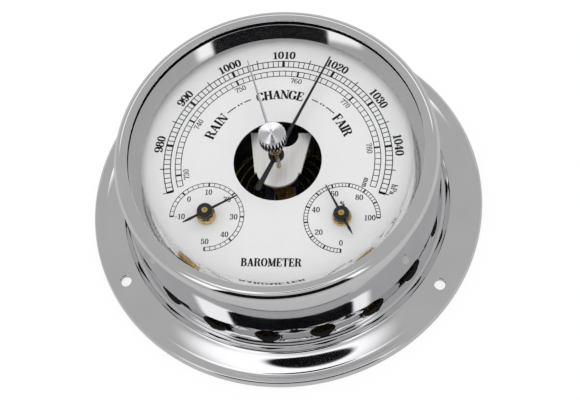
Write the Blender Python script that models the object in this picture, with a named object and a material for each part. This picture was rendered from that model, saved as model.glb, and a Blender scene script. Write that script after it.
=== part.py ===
"""A ship's aneroid barometer with a thermometer and a hygrometer in its dial.

The barometer lies on its back: +Z points out of the dial and +Y towards twelve o'clock.
The origin is the middle of the back, where the case meets the wall. Sizes are in
millimetres, and every mesh is converted to metres as it is stored.
"""
import math

import bmesh
import bpy
from mathutils import Matrix, Vector

MM = 0.001
GAP = 0.3

# Case, as radii and heights above the wall
FLANGE_RADIUS = 62.5
FLANGE_SHOULDER_RADIUS = 61.6
FLANGE_CONE_RADIUS = 59.3
FLANGE_SHOULDER_HEIGHT = 2.3
FLANGE_RIM_HEIGHT = 0.7
FLANGE_RELIEF_OUTER = 60.0
FLANGE_RELIEF_INNER = 51.5
FLANGE_RELIEF_HEIGHT = 1.0
RIDGE_RADIUS = 52.5
RIDGE_HEIGHT = 3.65
GROOVE_OUTER_RADIUS = 51.5
GROOVE_INNER_RADIUS = 50.3
GROOVE_HEIGHT = 2.95
WALL_RADIUS = 49.0
WALL_THICKNESS = 1.2
WALL_TOP = 35.3
BACK_RING_RADIUS = 43.5
BACK_RING_BOTTOM = 2.2
BACK_RING_TOP = 3.4
DIAL_RING_RADIUS = 45.3
DIAL_RING_HEIGHT = 3.0
DIAL_RING_LIP = 1.0
CASE_SEGMENTS = 54

# Openings in the case
VENT_COUNT = 18
VENT_PHASE = 7.0
VENT_RADIUS = 4.0
VENT_HEIGHT = 8.7
MOUNT_HOLE_RADIUS = 1.8
MOUNT_HOLE_CIRCLE = 57.2
MOUNT_HOLE_ANGLES = (90.0, 210.0, 330.0)
BACK_SCREW_HOLE_RADIUS = 1.2

# Bezel, glass and the rings under it
BEZEL_RADIUS = 49.9
BEZEL_BOTTOM = 15.6
BEZEL_SHOULDER = 35.6
BEZEL_TOP = 38.6
BEZEL_CREST_RADIUS = 47.1
BEZEL_MOUTH_RADIUS = 45.4
BEZEL_THICKNESS = 0.6
BEZEL_SPLIT = 33.4
GLASS_RADIUS = 48.2
GLASS_BOTTOM = 36.75
GLASS_TOP = 37.75
GLASS_HOLE_RADIUS = 1.7
REFLECTOR_MOUTH_RADIUS = 41.9
REFLECTOR_MOUTH_HEIGHT = 33.4
REFLECTOR_RIM_RADIUS = 45.3
REFLECTOR_OUTER_RADIUS = 47.3
REFLECTOR_THICKNESS = 0.6

# Dial
DIAL_FACE = 30.7
DIAL_THICKNESS = 0.8
DIAL_RADIUS = 47.3
WINDOW_RADIUS = 13.6
THERMOMETER_CENTRE = (-20.6, -19.2)
HYGROMETER_CENTRE = (20.6, -19.2)
BUSH_HOLE_RADIUS = 1.9

# Hands, as azimuths counted from three o'clock
PRESSURE_AZIMUTH = 66.6
MARKER_AZIMUTH = 108.3
THERMOMETER_AZIMUTH = 30.0
HYGROMETER_AZIMUTH = 118.0
HAND_THICKNESS = 0.4
HUB_CHAMFER = 0.25
HUB_RADIUS = 2.4
MARKER_HUB_RADIUS = 1.2
HUB_BORE = 1.3
HUB_HEIGHT = 1.7
SMALL_BLADE_LIFT = 0.6
PRESSURE_BLADE_BOTTOM = 34.3
PRESSURE_HUB = (2.45, 33.9, 35.4)

# Hand outlines: tip, width at the root, width at the tip, tail and width of the tail
SMALL_OUTLINE = (11.0, 0.9, 0.35, 7.6, 1.1)
PRESSURE_OUTLINE = (37.6, 1.15, 0.45, 13.0, 1.7)
MARKER_OUTLINE = (33.8, 1.0, 0.4, 4.4, 1.0)

# Thermometer and hygrometer, as heights under and over the dial
COIL_OUTER_RADIUS = 8.0
COIL_TURNS = 3.0
COIL_THICKNESS = 0.35
COIL_DROP = (5.5, 3.3)
COLLET_RADIUS = 1.2
POST_RADIUS = 0.9
BUSH_DROP = 2.4
BUSH_RADIUS = 1.5
BUSH_FLANGE_RADIUS = 2.9
BUSH_BORE = 0.55
SPINDLE_RADIUS = 0.45
SPINDLE_HEAD_RADIUS = 1.0
THERMOMETER_BUSH_HEIGHT = 2.8
HYGROMETER_BUSH_HEIGHT = 1.5

# Movement
BASE_BOTTOM = 5.0
BASE_TOP = 6.4
BASE_RADIUS = 37.0
PILLAR_CIRCLE = 34.0
PILLAR_ANGLES = (30.0, 150.0, 270.0)
BRIDGE_TOP = 27.3
BRIDGE_THICKNESS = 1.0
BRIDGE_BACK = 11.5
WING_BOTTOM = 14.2
WING_THICKNESS = 1.2
WING_DEPTH = 6.0
NOTCH_X = 1.6
NOTCH_RADIUS = 4.0
BRIDGE_PILLAR_PLACES = ((-22.0, 14.3), (22.0, 14.3))
BEARING_BOTTOM = 19.0
BEARING_THICKNESS = 1.0
CAPSULE_CENTRE = (0.0, -3.0)
CAPSULE_RADIUS = 19.0
CAPSULE_BOTTOM = 8.3
CAPSULE_TOP = 13.3
CAPSULE_FOOT_RADIUS = 4.0
CAPSULE_WAVES = 4
CAPSULE_WAVE_DEPTH = 0.9
CAPSULE_FIRST_WAVE = 5.0
SPRING_HALF_WIDTH = 5.0
SPRING_THICKNESS = 0.8
SPRING_BACK = 34.0
SPRING_FRONT = -7.0
SPRING_FOOT_END = 22.5
SPRING_STRIP_BOTTOM = 16.3
LEVER_X = 4.0
LEVER_PIVOT = (-10.0, 18.1)
LEVER_END_Y = -30.0
ROCKER_AXIS = (-26.0, 11.0)
ROCKER_ARM_LENGTH = 10.5
ROCKER_SHORT_ARM = 3.0
CHAIN_X = -1.4
DRUM_RADIUS = 1.1
DRUM_HEIGHT = 2.4
ARBOR_RADIUS = 0.6
PIVOT_RADIUS = 0.38
ARBOR_HEAD_RADIUS = 1.0
ARBOR_HEAD_BOTTOM = 33.2
ARBOR_TOP = 35.75
HAIRSPRING_RADIUS = 4.6
HAIRSPRING_BOTTOM = 24.6
HAIRSPRING_TOP = 25.2

# Setting knob
KNOB_RADIUS = 4.2
KNOB_BOTTOM = 43.4
KNOB_RIM_TOP = 48.6
KNOB_APEX = 49.6
KNOB_FLUTES = 24
KNOB_FLUTE_DEPTH = 0.25
STEM_BUSH_RADIUS = 2.0
STEM_BUSH_HEIGHT = 0.7
STEM_BORE = 0.9
STEM_RADIUS = 0.7
COLLAR_RADIUS = 1.6
FRICTION_WASHER = (1.0, 1.8)      # bore and rim radius

# Screws
SCREW_CHAMFER = 0.15
SCREW_SLOT_DEPTH = 0.3
SCREW_SLOT_WIDTH = 0.5
BACK_PLATE_BOTTOM = 1.1
BACK_PLATE_TOP = 1.9
BACK_SCREW_CIRCLE = 45.6
BACK_SCREW_ANGLES = (30.0, 150.0, 270.0)
CALIBRATION_PLACE = (0.0, 27.4)
CALIBRATION_HEAD_RADIUS = 2.1
SPRING_SCREW_PLACES = ((-3.1, 24.4), (3.1, 24.4))

# Base colour, metallic and roughness of each finish
FINISHES = {
    "chrome": ((0.62, 0.62, 0.64, 1.0), 1.0, 0.08),
    "brass": ((0.72, 0.52, 0.20, 1.0), 1.0, 0.25),
    "steel": ((0.55, 0.55, 0.56, 1.0), 1.0, 0.35),
    "blued_steel": ((0.05, 0.06, 0.10, 1.0), 1.0, 0.35),
    "bimetal": ((0.60, 0.45, 0.25, 1.0), 1.0, 0.35),
    "paper_ribbon": ((0.78, 0.72, 0.58, 1.0), 0.0, 0.80),
    "dial_paint": ((0.76, 0.76, 0.76, 1.0), 0.0, 0.45),
    "black_paint": ((0.012, 0.012, 0.014, 1.0), 0.0, 0.40),
    "glass": ((0.95, 0.97, 0.97, 0.25), 0.0, 0.02),
    "rubber": ((0.02, 0.02, 0.02, 1.0), 0.0, 0.80),
}


def clear_scene():
    for item in list(bpy.data.objects):
        bpy.data.objects.remove(item, do_unlink=True)


def make_material(name, finish):
    colour, metallic, roughness = FINISHES[finish]
    material = bpy.data.materials.new(name)
    material.use_nodes = True
    shader = material.node_tree.nodes["Principled BSDF"]
    shader.inputs["Base Color"].default_value = colour
    shader.inputs["Metallic"].default_value = metallic
    shader.inputs["Roughness"].default_value = roughness
    shader.inputs["Alpha"].default_value = colour[3]
    return material


def add_object(name, mesh_in_mm, origin=(0.0, 0.0, 0.0), turn=0.0):
    """Store a bmesh as an object whose origin is at the given place, turned about +Z."""
    bmesh.ops.remove_doubles(mesh_in_mm, verts=mesh_in_mm.verts, dist=0.0005)
    bmesh.ops.recalc_face_normals(mesh_in_mm, faces=mesh_in_mm.faces)
    bmesh.ops.scale(mesh_in_mm, vec=(MM, MM, MM), verts=mesh_in_mm.verts)
    mesh = bpy.data.meshes.new(name)
    mesh_in_mm.to_mesh(mesh)
    mesh_in_mm.free()
    mesh.shade_smooth()
    mesh.set_sharp_from_angle(angle=math.radians(35.0))
    item = bpy.data.objects.new(name, mesh)
    item.location = Vector(origin) * MM
    item.rotation_euler = (0.0, 0.0, math.radians(turn))
    bpy.context.scene.collection.objects.link(item)
    return item


def add_part(name, mesh_in_mm, finish, origin=(0.0, 0.0, 0.0), turn=0.0):
    item = add_object(name, mesh_in_mm, origin, turn)
    item.data.materials.append(make_material(name, finish))
    return item


def add_guide(name, mesh_in_mm, origin=(0.0, 0.0, 0.0), turn=0.0):
    """A shape that only cuts or extends another piece."""
    item = add_object(name, mesh_in_mm, origin, turn)
    item.hide_render = True
    item.display_type = "WIRE"
    return item


def combine(item, guide, operation):
    modifier = item.modifiers.new(guide.name, "BOOLEAN")
    modifier.operation = operation
    modifier.solver = "EXACT"
    modifier.object = guide


def turned_mesh(profile, segments):
    """Spin a closed outline of (radius, height) points about the Z axis."""
    mesh = bmesh.new()
    corners = [mesh.verts.new((radius, 0.0, height)) for radius, height in profile]
    for first, second in zip(corners, corners[1:] + corners[:1]):
        if first.co.x > 0.0 or second.co.x > 0.0:
            mesh.edges.new((first, second))
    bmesh.ops.spin(
        mesh, geom=mesh.verts[:] + mesh.edges[:], cent=(0.0, 0.0, 0.0), axis=(0.0, 0.0, 1.0),
        angle=2.0 * math.pi, steps=segments, use_merge=True)
    bmesh.ops.remove_doubles(mesh, verts=mesh.verts, dist=0.0005)
    return mesh


def extruded_mesh(outline, bottom, top):
    mesh = bmesh.new()
    face = mesh.faces.new([mesh.verts.new((x, y, bottom)) for x, y in outline])
    grown = bmesh.ops.extrude_face_region(mesh, geom=[face])
    raised = [part for part in grown["geom"] if isinstance(part, bmesh.types.BMVert)]
    bmesh.ops.translate(mesh, vec=(0.0, 0.0, top - bottom), verts=raised)
    return mesh


def add_box(mesh, low, high):
    size = Vector(high) - Vector(low)
    middle = (Vector(high) + Vector(low)) / 2.0
    matrix = Matrix.Translation(middle) @ Matrix.Diagonal((size.x, size.y, size.z, 1.0))
    bmesh.ops.create_cube(mesh, size=1.0, matrix=matrix)
    return mesh


def add_rod(mesh, start, end, radius, segments=12):
    """A round rod between two points."""
    start, end = Vector(start), Vector(end)
    turn = (end - start).to_track_quat("Z", "Y").to_matrix().to_4x4()
    matrix = Matrix.Translation((start + end) / 2.0) @ turn
    bmesh.ops.create_cone(
        mesh, cap_ends=True, segments=segments, radius1=radius, radius2=radius,
        depth=(end - start).length, matrix=matrix)
    return mesh


def on_circle(radius, angle):
    return (radius * math.cos(math.radians(angle)), radius * math.sin(math.radians(angle)))


def arc(centre, radii, first, last, steps):
    """Points along an ellipse's arc, both ends included, in degrees."""
    points = []
    for step in range(steps + 1):
        angle = math.radians(first + (last - first) * step / steps)
        points.append((centre[0] + radii[0] * math.cos(angle), centre[1] + radii[1] * math.sin(angle)))
    return points


def holes_mesh(places, radius, bottom, top, segments=12):
    mesh = bmesh.new()
    for x, y in places:
        add_rod(mesh, (x, y, bottom), (x, y, top), radius, segments)
    return mesh


# ---------------------------------------------------------------- case

def build_flange():
    """A flat rim, a cone up to a ridge, and a groove at the wall; the underside is relieved."""
    shoulder = arc(
        (FLANGE_SHOULDER_RADIUS, FLANGE_RIM_HEIGHT),
        (FLANGE_RADIUS - FLANGE_SHOULDER_RADIUS, FLANGE_SHOULDER_HEIGHT - FLANGE_RIM_HEIGHT), 0, 90, 3)
    inner = WALL_RADIUS + GAP
    profile = [(FLANGE_RADIUS, 0.0)] + shoulder + [
        (FLANGE_CONE_RADIUS, FLANGE_SHOULDER_HEIGHT),
        (RIDGE_RADIUS, RIDGE_HEIGHT),
        (GROOVE_OUTER_RADIUS, GROOVE_HEIGHT + 0.1),
        (GROOVE_INNER_RADIUS, GROOVE_HEIGHT),
        (inner, RIDGE_HEIGHT),
        (inner, 0.0),
        (FLANGE_RELIEF_INNER, 0.0),
        (FLANGE_RELIEF_INNER, 2.0 * FLANGE_RELIEF_HEIGHT),
        (FLANGE_RELIEF_OUTER, FLANGE_RELIEF_HEIGHT),
        (FLANGE_RELIEF_OUTER, 0.0),
    ]
    flange = add_part("mounting_flange", turned_mesh(profile, CASE_SEGMENTS), "chrome")
    places = [on_circle(MOUNT_HOLE_CIRCLE, angle) for angle in MOUNT_HOLE_ANGLES]
    holes = holes_mesh(places, MOUNT_HOLE_RADIUS, -1.0, 6.0)
    combine(flange, add_guide("mount_hole_cutter", holes), "DIFFERENCE")


def build_wall():
    """A plain tube with a row of round openings near its foot."""
    inner = WALL_RADIUS - WALL_THICKNESS
    profile = [(inner, 0.0), (WALL_RADIUS, 0.0), (WALL_RADIUS, WALL_TOP), (inner, WALL_TOP)]
    wall = add_part("case_wall", turned_mesh(profile, CASE_SEGMENTS), "chrome")
    vents = bmesh.new()
    for index in range(VENT_COUNT):
        angle = VENT_PHASE + 360.0 * index / VENT_COUNT
        start = (*on_circle(inner - 2.0, angle), VENT_HEIGHT)
        end = (*on_circle(WALL_RADIUS + 2.0, angle), VENT_HEIGHT)
        add_rod(vents, start, end, VENT_RADIUS)
    combine(wall, add_guide("vent_cutter", vents), "DIFFERENCE")


def build_inner_rings():
    """The ring that the dial rests on, and the ring that the back plate is screwed to."""
    outer = WALL_RADIUS - WALL_THICKNESS - GAP
    top = DIAL_FACE - DIAL_THICKNESS - GAP
    profile = [
        (outer, top), (DIAL_RING_RADIUS, top),
        (DIAL_RING_RADIUS, top - DIAL_RING_LIP), (outer, top - DIAL_RING_HEIGHT)]
    add_part("dial_support_ring", turned_mesh(profile, CASE_SEGMENTS), "brass")
    profile = [
        (outer, BACK_RING_TOP), (BACK_RING_RADIUS, BACK_RING_TOP),
        (BACK_RING_RADIUS, BACK_RING_BOTTOM), (outer, BACK_RING_BOTTOM)]
    ring = add_part("back_ring", turned_mesh(profile, CASE_SEGMENTS), "brass")
    places = [on_circle(BACK_SCREW_CIRCLE, angle) for angle in BACK_SCREW_ANGLES]
    holes = holes_mesh(places, BACK_SCREW_HOLE_RADIUS, BACK_RING_BOTTOM - 0.5, BACK_RING_TOP + 0.5)
    combine(ring, add_guide("back_screw_hole_cutter", holes), "DIFFERENCE")


def build_back_plate():
    radius = WALL_RADIUS - WALL_THICKNESS - GAP
    profile = [
        (0.0, BACK_PLATE_BOTTOM), (radius, BACK_PLATE_BOTTOM),
        (radius, BACK_PLATE_TOP), (0.0, BACK_PLATE_TOP)]
    plate = add_part("back_plate", turned_mesh(profile, 32), "black_paint")
    below, above = BACK_PLATE_BOTTOM - 1.0, BACK_PLATE_TOP + 1.0
    places = [on_circle(BACK_SCREW_CIRCLE, angle) for angle in BACK_SCREW_ANGLES]
    holes = holes_mesh(places, BACK_SCREW_HOLE_RADIUS, below, above)
    start, end = (*CALIBRATION_PLACE, below), (*CALIBRATION_PLACE, above)
    add_rod(holes, start, end, CALIBRATION_HEAD_RADIUS + GAP, 16)
    combine(plate, add_guide("back_plate_hole_cutter", holes), "DIFFERENCE")


def build_screw(name, place, head, shank, slot_up, finish="steel"):
    """A slotted screw: head and shank are (radius, low, high), and the slot faces up or down."""
    head_radius, head_low, head_high = head
    shank_radius, shank_low, shank_high = shank
    edge_radius = head_radius - SCREW_CHAMFER
    if slot_up:
        profile = [
            (0.0, shank_low), (shank_radius, shank_low), (shank_radius, head_low), (head_radius, head_low),
            (head_radius, head_high - SCREW_CHAMFER), (edge_radius, head_high), (0.0, head_high)]
        slot_low, slot_high = head_high - SCREW_SLOT_DEPTH, head_high + 1.0
    else:
        profile = [
            (0.0, head_low), (edge_radius, head_low), (head_radius, head_low + SCREW_CHAMFER),
            (head_radius, head_high), (shank_radius, head_high),
            (shank_radius, shank_high), (0.0, shank_high)]
        slot_low, slot_high = head_low - 1.0, head_low + SCREW_SLOT_DEPTH
    screw = add_part(name, turned_mesh(profile, 10), finish, (*place, 0.0))
    reach, half_slot = head_radius + 1.0, SCREW_SLOT_WIDTH / 2.0
    slot = add_box(bmesh.new(), (-reach, -half_slot, slot_low), (reach, half_slot, slot_high))
    combine(screw, add_guide(name + "_slot_cutter", slot, (*place, 0.0)), "DIFFERENCE")


def build_bezel():
    """The bezel's crown, which holds the glass, and the skirt under it, which is screwed on the wall."""
    inner = BEZEL_RADIUS - BEZEL_THICKNESS
    lip_bottom = GLASS_TOP + GAP
    crown = arc(
        (BEZEL_CREST_RADIUS, BEZEL_SHOULDER),
        (BEZEL_RADIUS - BEZEL_CREST_RADIUS, BEZEL_TOP - BEZEL_SHOULDER), 0, 90, 3)
    profile = [(inner, BEZEL_SPLIT), (BEZEL_RADIUS, BEZEL_SPLIT)] + crown + [
        (BEZEL_MOUTH_RADIUS + 0.2, BEZEL_TOP - 0.25),
        (BEZEL_MOUTH_RADIUS, lip_bottom),
        (GLASS_RADIUS + GAP, lip_bottom),
        (inner, lip_bottom - 0.9),
    ]
    add_part("bezel_ring", turned_mesh(profile, CASE_SEGMENTS), "chrome")
    top = BEZEL_SPLIT - GAP
    profile = [(inner, BEZEL_BOTTOM), (BEZEL_RADIUS, BEZEL_BOTTOM), (BEZEL_RADIUS, top), (inner, top)]
    add_part("bezel_skirt", turned_mesh(profile, CASE_SEGMENTS), "chrome")


def build_glass():
    profile = [
        (GLASS_HOLE_RADIUS, GLASS_BOTTOM), (GLASS_RADIUS, GLASS_BOTTOM),
        (GLASS_RADIUS, GLASS_TOP), (GLASS_HOLE_RADIUS, GLASS_TOP)]
    add_part("glass_pane", turned_mesh(profile, 40), "glass")


def build_gasket():
    inner, outer = WALL_RADIUS - WALL_THICKNESS, WALL_RADIUS - 0.1
    low, high = WALL_TOP + GAP, GLASS_BOTTOM - GAP
    profile = [(inner, low), (outer, low), (outer, high), (inner, high)]
    add_part("glass_gasket", turned_mesh(profile, 36), "rubber")


def build_reflector():
    top = GLASS_BOTTOM - GAP
    profile = [
        (REFLECTOR_MOUTH_RADIUS, REFLECTOR_MOUTH_HEIGHT),
        (REFLECTOR_MOUTH_RADIUS + 0.3, REFLECTOR_MOUTH_HEIGHT - 0.5),
        (REFLECTOR_RIM_RADIUS + 0.25, top - REFLECTOR_THICKNESS),
        (REFLECTOR_OUTER_RADIUS - REFLECTOR_THICKNESS, top - REFLECTOR_THICKNESS),
        (REFLECTOR_OUTER_RADIUS - REFLECTOR_THICKNESS, DIAL_FACE + GAP),
        (REFLECTOR_OUTER_RADIUS, DIAL_FACE + GAP),
        (REFLECTOR_OUTER_RADIUS, top),
        (REFLECTOR_RIM_RADIUS, top),
    ]
    add_part("reflector_ring", turned_mesh(profile, CASE_SEGMENTS), "chrome")


# ---------------------------------------------------------------- dial and its two small instruments

def build_dial():
    bottom = DIAL_FACE - DIAL_THICKNESS
    profile = [
        (WINDOW_RADIUS, bottom), (DIAL_RADIUS, bottom), (DIAL_RADIUS, DIAL_FACE), (WINDOW_RADIUS, DIAL_FACE)]
    dial = add_part("dial_plate", turned_mesh(profile, 40), "dial_paint")
    places = (THERMOMETER_CENTRE, HYGROMETER_CENTRE)
    holes = holes_mesh(places, BUSH_HOLE_RADIUS, bottom - 1.0, DIAL_FACE + 1.0, 16)
    combine(dial, add_guide("bush_hole_cutter", holes), "DIFFERENCE")


def hand_outline(tip, root_width, tip_width, tail, tail_width):
    """A slim hand along +X: it tapers to its tip, and its tail widens to a round end."""
    outline = [(tip, -tip_width / 2), (tip + tip_width, 0.0), (tip, tip_width / 2), (0.0, root_width / 2)]
    outline += arc((-tail + tail_width / 2, 0.0), (tail_width / 2, tail_width / 2), 90, 270, 4)
    outline.append((0.0, -root_width / 2))
    return outline


def build_hand(name, place, azimuth, outline, blade_bottom, hub, bore, finish="black_paint"):
    """A flat hand with a round hub; hub is (radius, low, high), and bore clears its arbor."""
    origin = (*place, 0.0)
    blade = extruded_mesh(outline, blade_bottom, blade_bottom + HAND_THICKNESS)
    hand = add_part(name, blade, finish, origin, azimuth)
    hub_radius, hub_low, hub_high = hub
    profile = [
        (0.0, hub_low), (hub_radius, hub_low), (hub_radius, hub_high - HUB_CHAMFER),
        (hub_radius - HUB_CHAMFER, hub_high), (0.0, hub_high)]
    disc = turned_mesh(profile, 16)
    combine(hand, add_guide(name + "_hub", disc, origin, azimuth), "UNION")
    if bore > 0.0:
        hole = holes_mesh([(0.0, 0.0)], bore, hub_low - 1.0, hub_high + 1.0, 16)
        combine(hand, add_guide(name + "_bore_cutter", hole, origin, azimuth), "DIFFERENCE")


def spiral_mesh(inner, outer, turns, bottom, top, thickness, steps_per_turn):
    """An upright strip wound into a flat spiral, which ends at three o'clock."""
    mesh = bmesh.new()
    steps = int(turns * steps_per_turn)
    sections = []
    for step in range(steps + 1):
        angle = 2.0 * math.pi * (step / steps_per_turn - turns)
        radius = inner + (outer - inner) * step / steps
        corners = []
        for offset, height in ((0.0, bottom), (thickness, bottom), (thickness, top), (0.0, top)):
            reach = radius + offset
            corners.append(mesh.verts.new((reach * math.cos(angle), reach * math.sin(angle), height)))
        sections.append(corners)
    for near, far in zip(sections, sections[1:]):
        for index in range(4):
            following = (index + 1) % 4
            mesh.faces.new((near[index], near[following], far[following], far[index]))
    mesh.faces.new(sections[0])
    mesh.faces.new(sections[-1][::-1])
    return mesh


def build_instrument(name, centre, azimuth, bush_top, coil_finish):
    """A small dial instrument: a coil under the dial turns an arbor with a hand."""
    origin = (*centre, 0.0)
    dial_bottom = DIAL_FACE - DIAL_THICKNESS
    coil_low, coil_high = (dial_bottom - drop for drop in COIL_DROP)
    hub_low = bush_top + GAP
    hub_high = hub_low + HUB_HEIGHT
    seat, foot = DIAL_FACE + GAP, dial_bottom - BUSH_DROP
    bush = [
        (BUSH_BORE, foot), (BUSH_RADIUS, foot), (BUSH_RADIUS, seat), (BUSH_FLANGE_RADIUS, seat),
        (BUSH_FLANGE_RADIUS, bush_top - GAP), (BUSH_FLANGE_RADIUS - GAP, bush_top), (BUSH_BORE, bush_top)]
    add_part(name + "_bush", turned_mesh(bush, 16), "brass", origin)
    shoulder = coil_high + GAP
    arbor = [
        (0.0, coil_low - 0.4), (COLLET_RADIUS, coil_low - 0.4), (COLLET_RADIUS, shoulder),
        (SPINDLE_RADIUS, shoulder), (SPINDLE_RADIUS, hub_low - 0.1), (SPINDLE_HEAD_RADIUS, hub_low - 0.1),
        (SPINDLE_HEAD_RADIUS, hub_high + 0.15), (0.0, hub_high + 0.15)]
    add_part(name + "_arbor", turned_mesh(arbor, 12), "brass", origin)
    coil = spiral_mesh(
        COLLET_RADIUS + GAP, COIL_OUTER_RADIUS, COIL_TURNS, coil_low, coil_high, COIL_THICKNESS, 12)
    add_part(name + "_coil", coil, coil_finish, origin)
    post_x = COIL_OUTER_RADIUS + COIL_THICKNESS + GAP + POST_RADIUS
    post = add_rod(bmesh.new(), (post_x, 0.0, coil_low), (post_x, 0.0, dial_bottom - GAP), POST_RADIUS, 10)
    add_part(name + "_post", post, "brass", origin)
    blade_bottom = hub_low + SMALL_BLADE_LIFT
    hub = (HUB_RADIUS, hub_low, hub_high)
    build_hand(name + "_hand", centre, azimuth, hand_outline(*SMALL_OUTLINE), blade_bottom, hub, HUB_BORE)


# ---------------------------------------------------------------- movement

def build_base():
    profile = [(0.0, BASE_BOTTOM), (BASE_RADIUS, BASE_BOTTOM), (BASE_RADIUS, BASE_TOP), (0.0, BASE_TOP)]
    base = add_part("movement_base", turned_mesh(profile, 32), "steel")
    places = [on_circle(PILLAR_CIRCLE, angle) for angle in PILLAR_ANGLES]
    holes = holes_mesh(places, 1.5, BASE_BOTTOM - 1.0, BASE_TOP + 1.0)
    add_rod(holes, (*CALIBRATION_PLACE, 0.0), (*CALIBRATION_PLACE, 10.0), 1.9)
    for x, y in SPRING_SCREW_PLACES:
        add_rod(holes, (x, y, 0.0), (x, y, 10.0), 1.1)
    combine(base, add_guide("base_hole_cutter", holes), "DIFFERENCE")


def build_pillars():
    for number, angle in enumerate(PILLAR_ANGLES, start=1):
        place = on_circle(PILLAR_CIRCLE, angle)
        low, high = BASE_TOP + GAP, DIAL_FACE - DIAL_THICKNESS - GAP
        profile = [
            (0.0, low), (2.2, low), (2.2, low + 2.0), (1.6, low + 2.6),
            (1.6, high - 2.6), (2.2, high - 2.0), (2.2, high), (0.0, high)]
        add_part(f"dial_pillar_{number}", turned_mesh(profile, 10), "brass", (*place, 0.0))
        build_screw(
            f"pillar_screw_{number}", place, (2.4, BASE_BOTTOM - GAP - 1.2, BASE_BOTTOM - GAP),
            (1.2, BASE_BOTTOM, BASE_TOP - 0.1), slot_up=False)


def build_bridge():
    """A tongue over the arbor, bent down at the back into two legs with feet on the base."""
    low = BRIDGE_TOP - BRIDGE_THICKNESS
    tongue = [(-9.4, BRIDGE_BACK), (-7.4, -2.4)]
    tongue += arc((-0.2, -1.6), (6.6, 5.6), 188, 352, 10)
    tongue += [(7.0, -2.4), (9.8, BRIDGE_BACK)]
    bridge = add_part("bridge_plate", extruded_mesh(tongue, low, BRIDGE_TOP), "steel")
    for side, (left, right) in enumerate(((-9.2, -5.6), (6.0, 9.6)), start=1):
        leg = add_box(bmesh.new(), (left, BRIDGE_BACK - 1.0, WING_BOTTOM), (right, BRIDGE_BACK, low + 0.5))
        combine(bridge, add_guide(f"bridge_leg_{side}", leg), "UNION")
    for side, (left, right) in enumerate(((-25.0, -6.2), (6.6, 25.0)), start=1):
        low_corner = (left, BRIDGE_BACK - 0.8, WING_BOTTOM + 0.1)
        high_corner = (right, BRIDGE_BACK + WING_DEPTH, WING_BOTTOM + WING_THICKNESS)
        wing = add_box(bmesh.new(), low_corner, high_corner)
        combine(bridge, add_guide(f"bridge_wing_{side}", wing), "UNION")
    cuts = holes_mesh([(0.0, 0.0)], ARBOR_RADIUS + 0.12, low - 1.0, BRIDGE_TOP + 1.0, 16)
    for x, y in BRIDGE_PILLAR_PLACES:
        add_rod(cuts, (x, y, WING_BOTTOM - 1.0), (x, y, WING_BOTTOM + 3.0), 1.2)
    notch = (NOTCH_X, BRIDGE_BACK - 0.9)
    add_rod(cuts, (*notch, low - 0.2), (*notch, BRIDGE_TOP + 1.0), NOTCH_RADIUS, 24)
    combine(bridge, add_guide("bridge_hole_cutter", cuts), "DIFFERENCE")


def build_bridge_pillars():
    for number, (x, y) in enumerate(BRIDGE_PILLAR_PLACES, start=1):
        low, high = BASE_TOP + GAP, WING_BOTTOM + 0.1 - GAP
        profile = [(0.0, low), (2.0, low), (2.0, high), (0.0, high)]
        add_part(f"bridge_pillar_{number}", turned_mesh(profile, 12), "brass", (x, y, 0.0))
        head_low = WING_BOTTOM + WING_THICKNESS + 0.2
        build_screw(
            f"bridge_screw_{number}", (x, y), (1.9, head_low, head_low + 1.1),
            (0.9, WING_BOTTOM + 0.1, head_low - 0.1), slot_up=True)


def build_bearing_plate():
    """The arbor's lower bearing, with two ears under it for the main lever's pin."""
    top = BEARING_BOTTOM + BEARING_THICKNESS
    back = BRIDGE_BACK - 1.0 - GAP
    outline = [
        (-9.0, back), (-9.0, back - 3.0), (-3.0, back - 4.0), (-3.0, -3.0), (2.2, -12.0), (5.8, -12.0),
        (5.8, -8.0), (3.0, -3.0), (3.0, back - 4.0), (9.0, back - 3.0), (9.0, back)]
    plate = add_part("bearing_plate", extruded_mesh(outline, BEARING_BOTTOM, top), "brass")
    pivot_y, pivot_z = LEVER_PIVOT
    for side, left in enumerate((LEVER_X - 1.7, LEVER_X + 0.9), start=1):
        low_corner = (left, pivot_y - 1.2, pivot_z - 1.2)
        ear = add_box(bmesh.new(), low_corner, (left + 0.8, pivot_y + 1.2, BEARING_BOTTOM + 0.4))
        combine(plate, add_guide(f"bearing_ear_{side}", ear), "UNION")
    cuts = add_rod(bmesh.new(), (LEVER_X - 3.0, pivot_y, pivot_z), (LEVER_X + 3.0, pivot_y, pivot_z), 0.55)
    add_rod(cuts, (0.0, 0.0, BEARING_BOTTOM - 1.0), (0.0, 0.0, top + 1.0), 0.5)
    combine(plate, add_guide("bearing_hole_cutter", cuts), "DIFFERENCE")


def build_arbor():
    """The hand's arbor: pivot, chain drum, shaft, and the head that the hand sits on."""
    low = BEARING_BOTTOM - 0.6
    top = BEARING_BOTTOM + BEARING_THICKNESS + GAP
    drum_low, drum_high = top + GAP, top + GAP + DRUM_HEIGHT
    rim, core = DRUM_RADIUS + 0.1, DRUM_RADIUS - 0.1
    profile = [
        (0.0, low), (PIVOT_RADIUS, low), (PIVOT_RADIUS, top), (rim, top), (rim, drum_low),
        (core, drum_low), (core, drum_high), (rim, drum_high),
        (rim, drum_high + GAP), (ARBOR_RADIUS, drum_high + GAP), (ARBOR_RADIUS, ARBOR_HEAD_BOTTOM),
        (ARBOR_HEAD_RADIUS, ARBOR_HEAD_BOTTOM), (ARBOR_HEAD_RADIUS, ARBOR_TOP - 0.05),
        (ARBOR_HEAD_RADIUS - 0.2, ARBOR_TOP), (0.0, ARBOR_TOP)]
    add_part("centre_arbor", turned_mesh(profile, 12), "brass")


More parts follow.
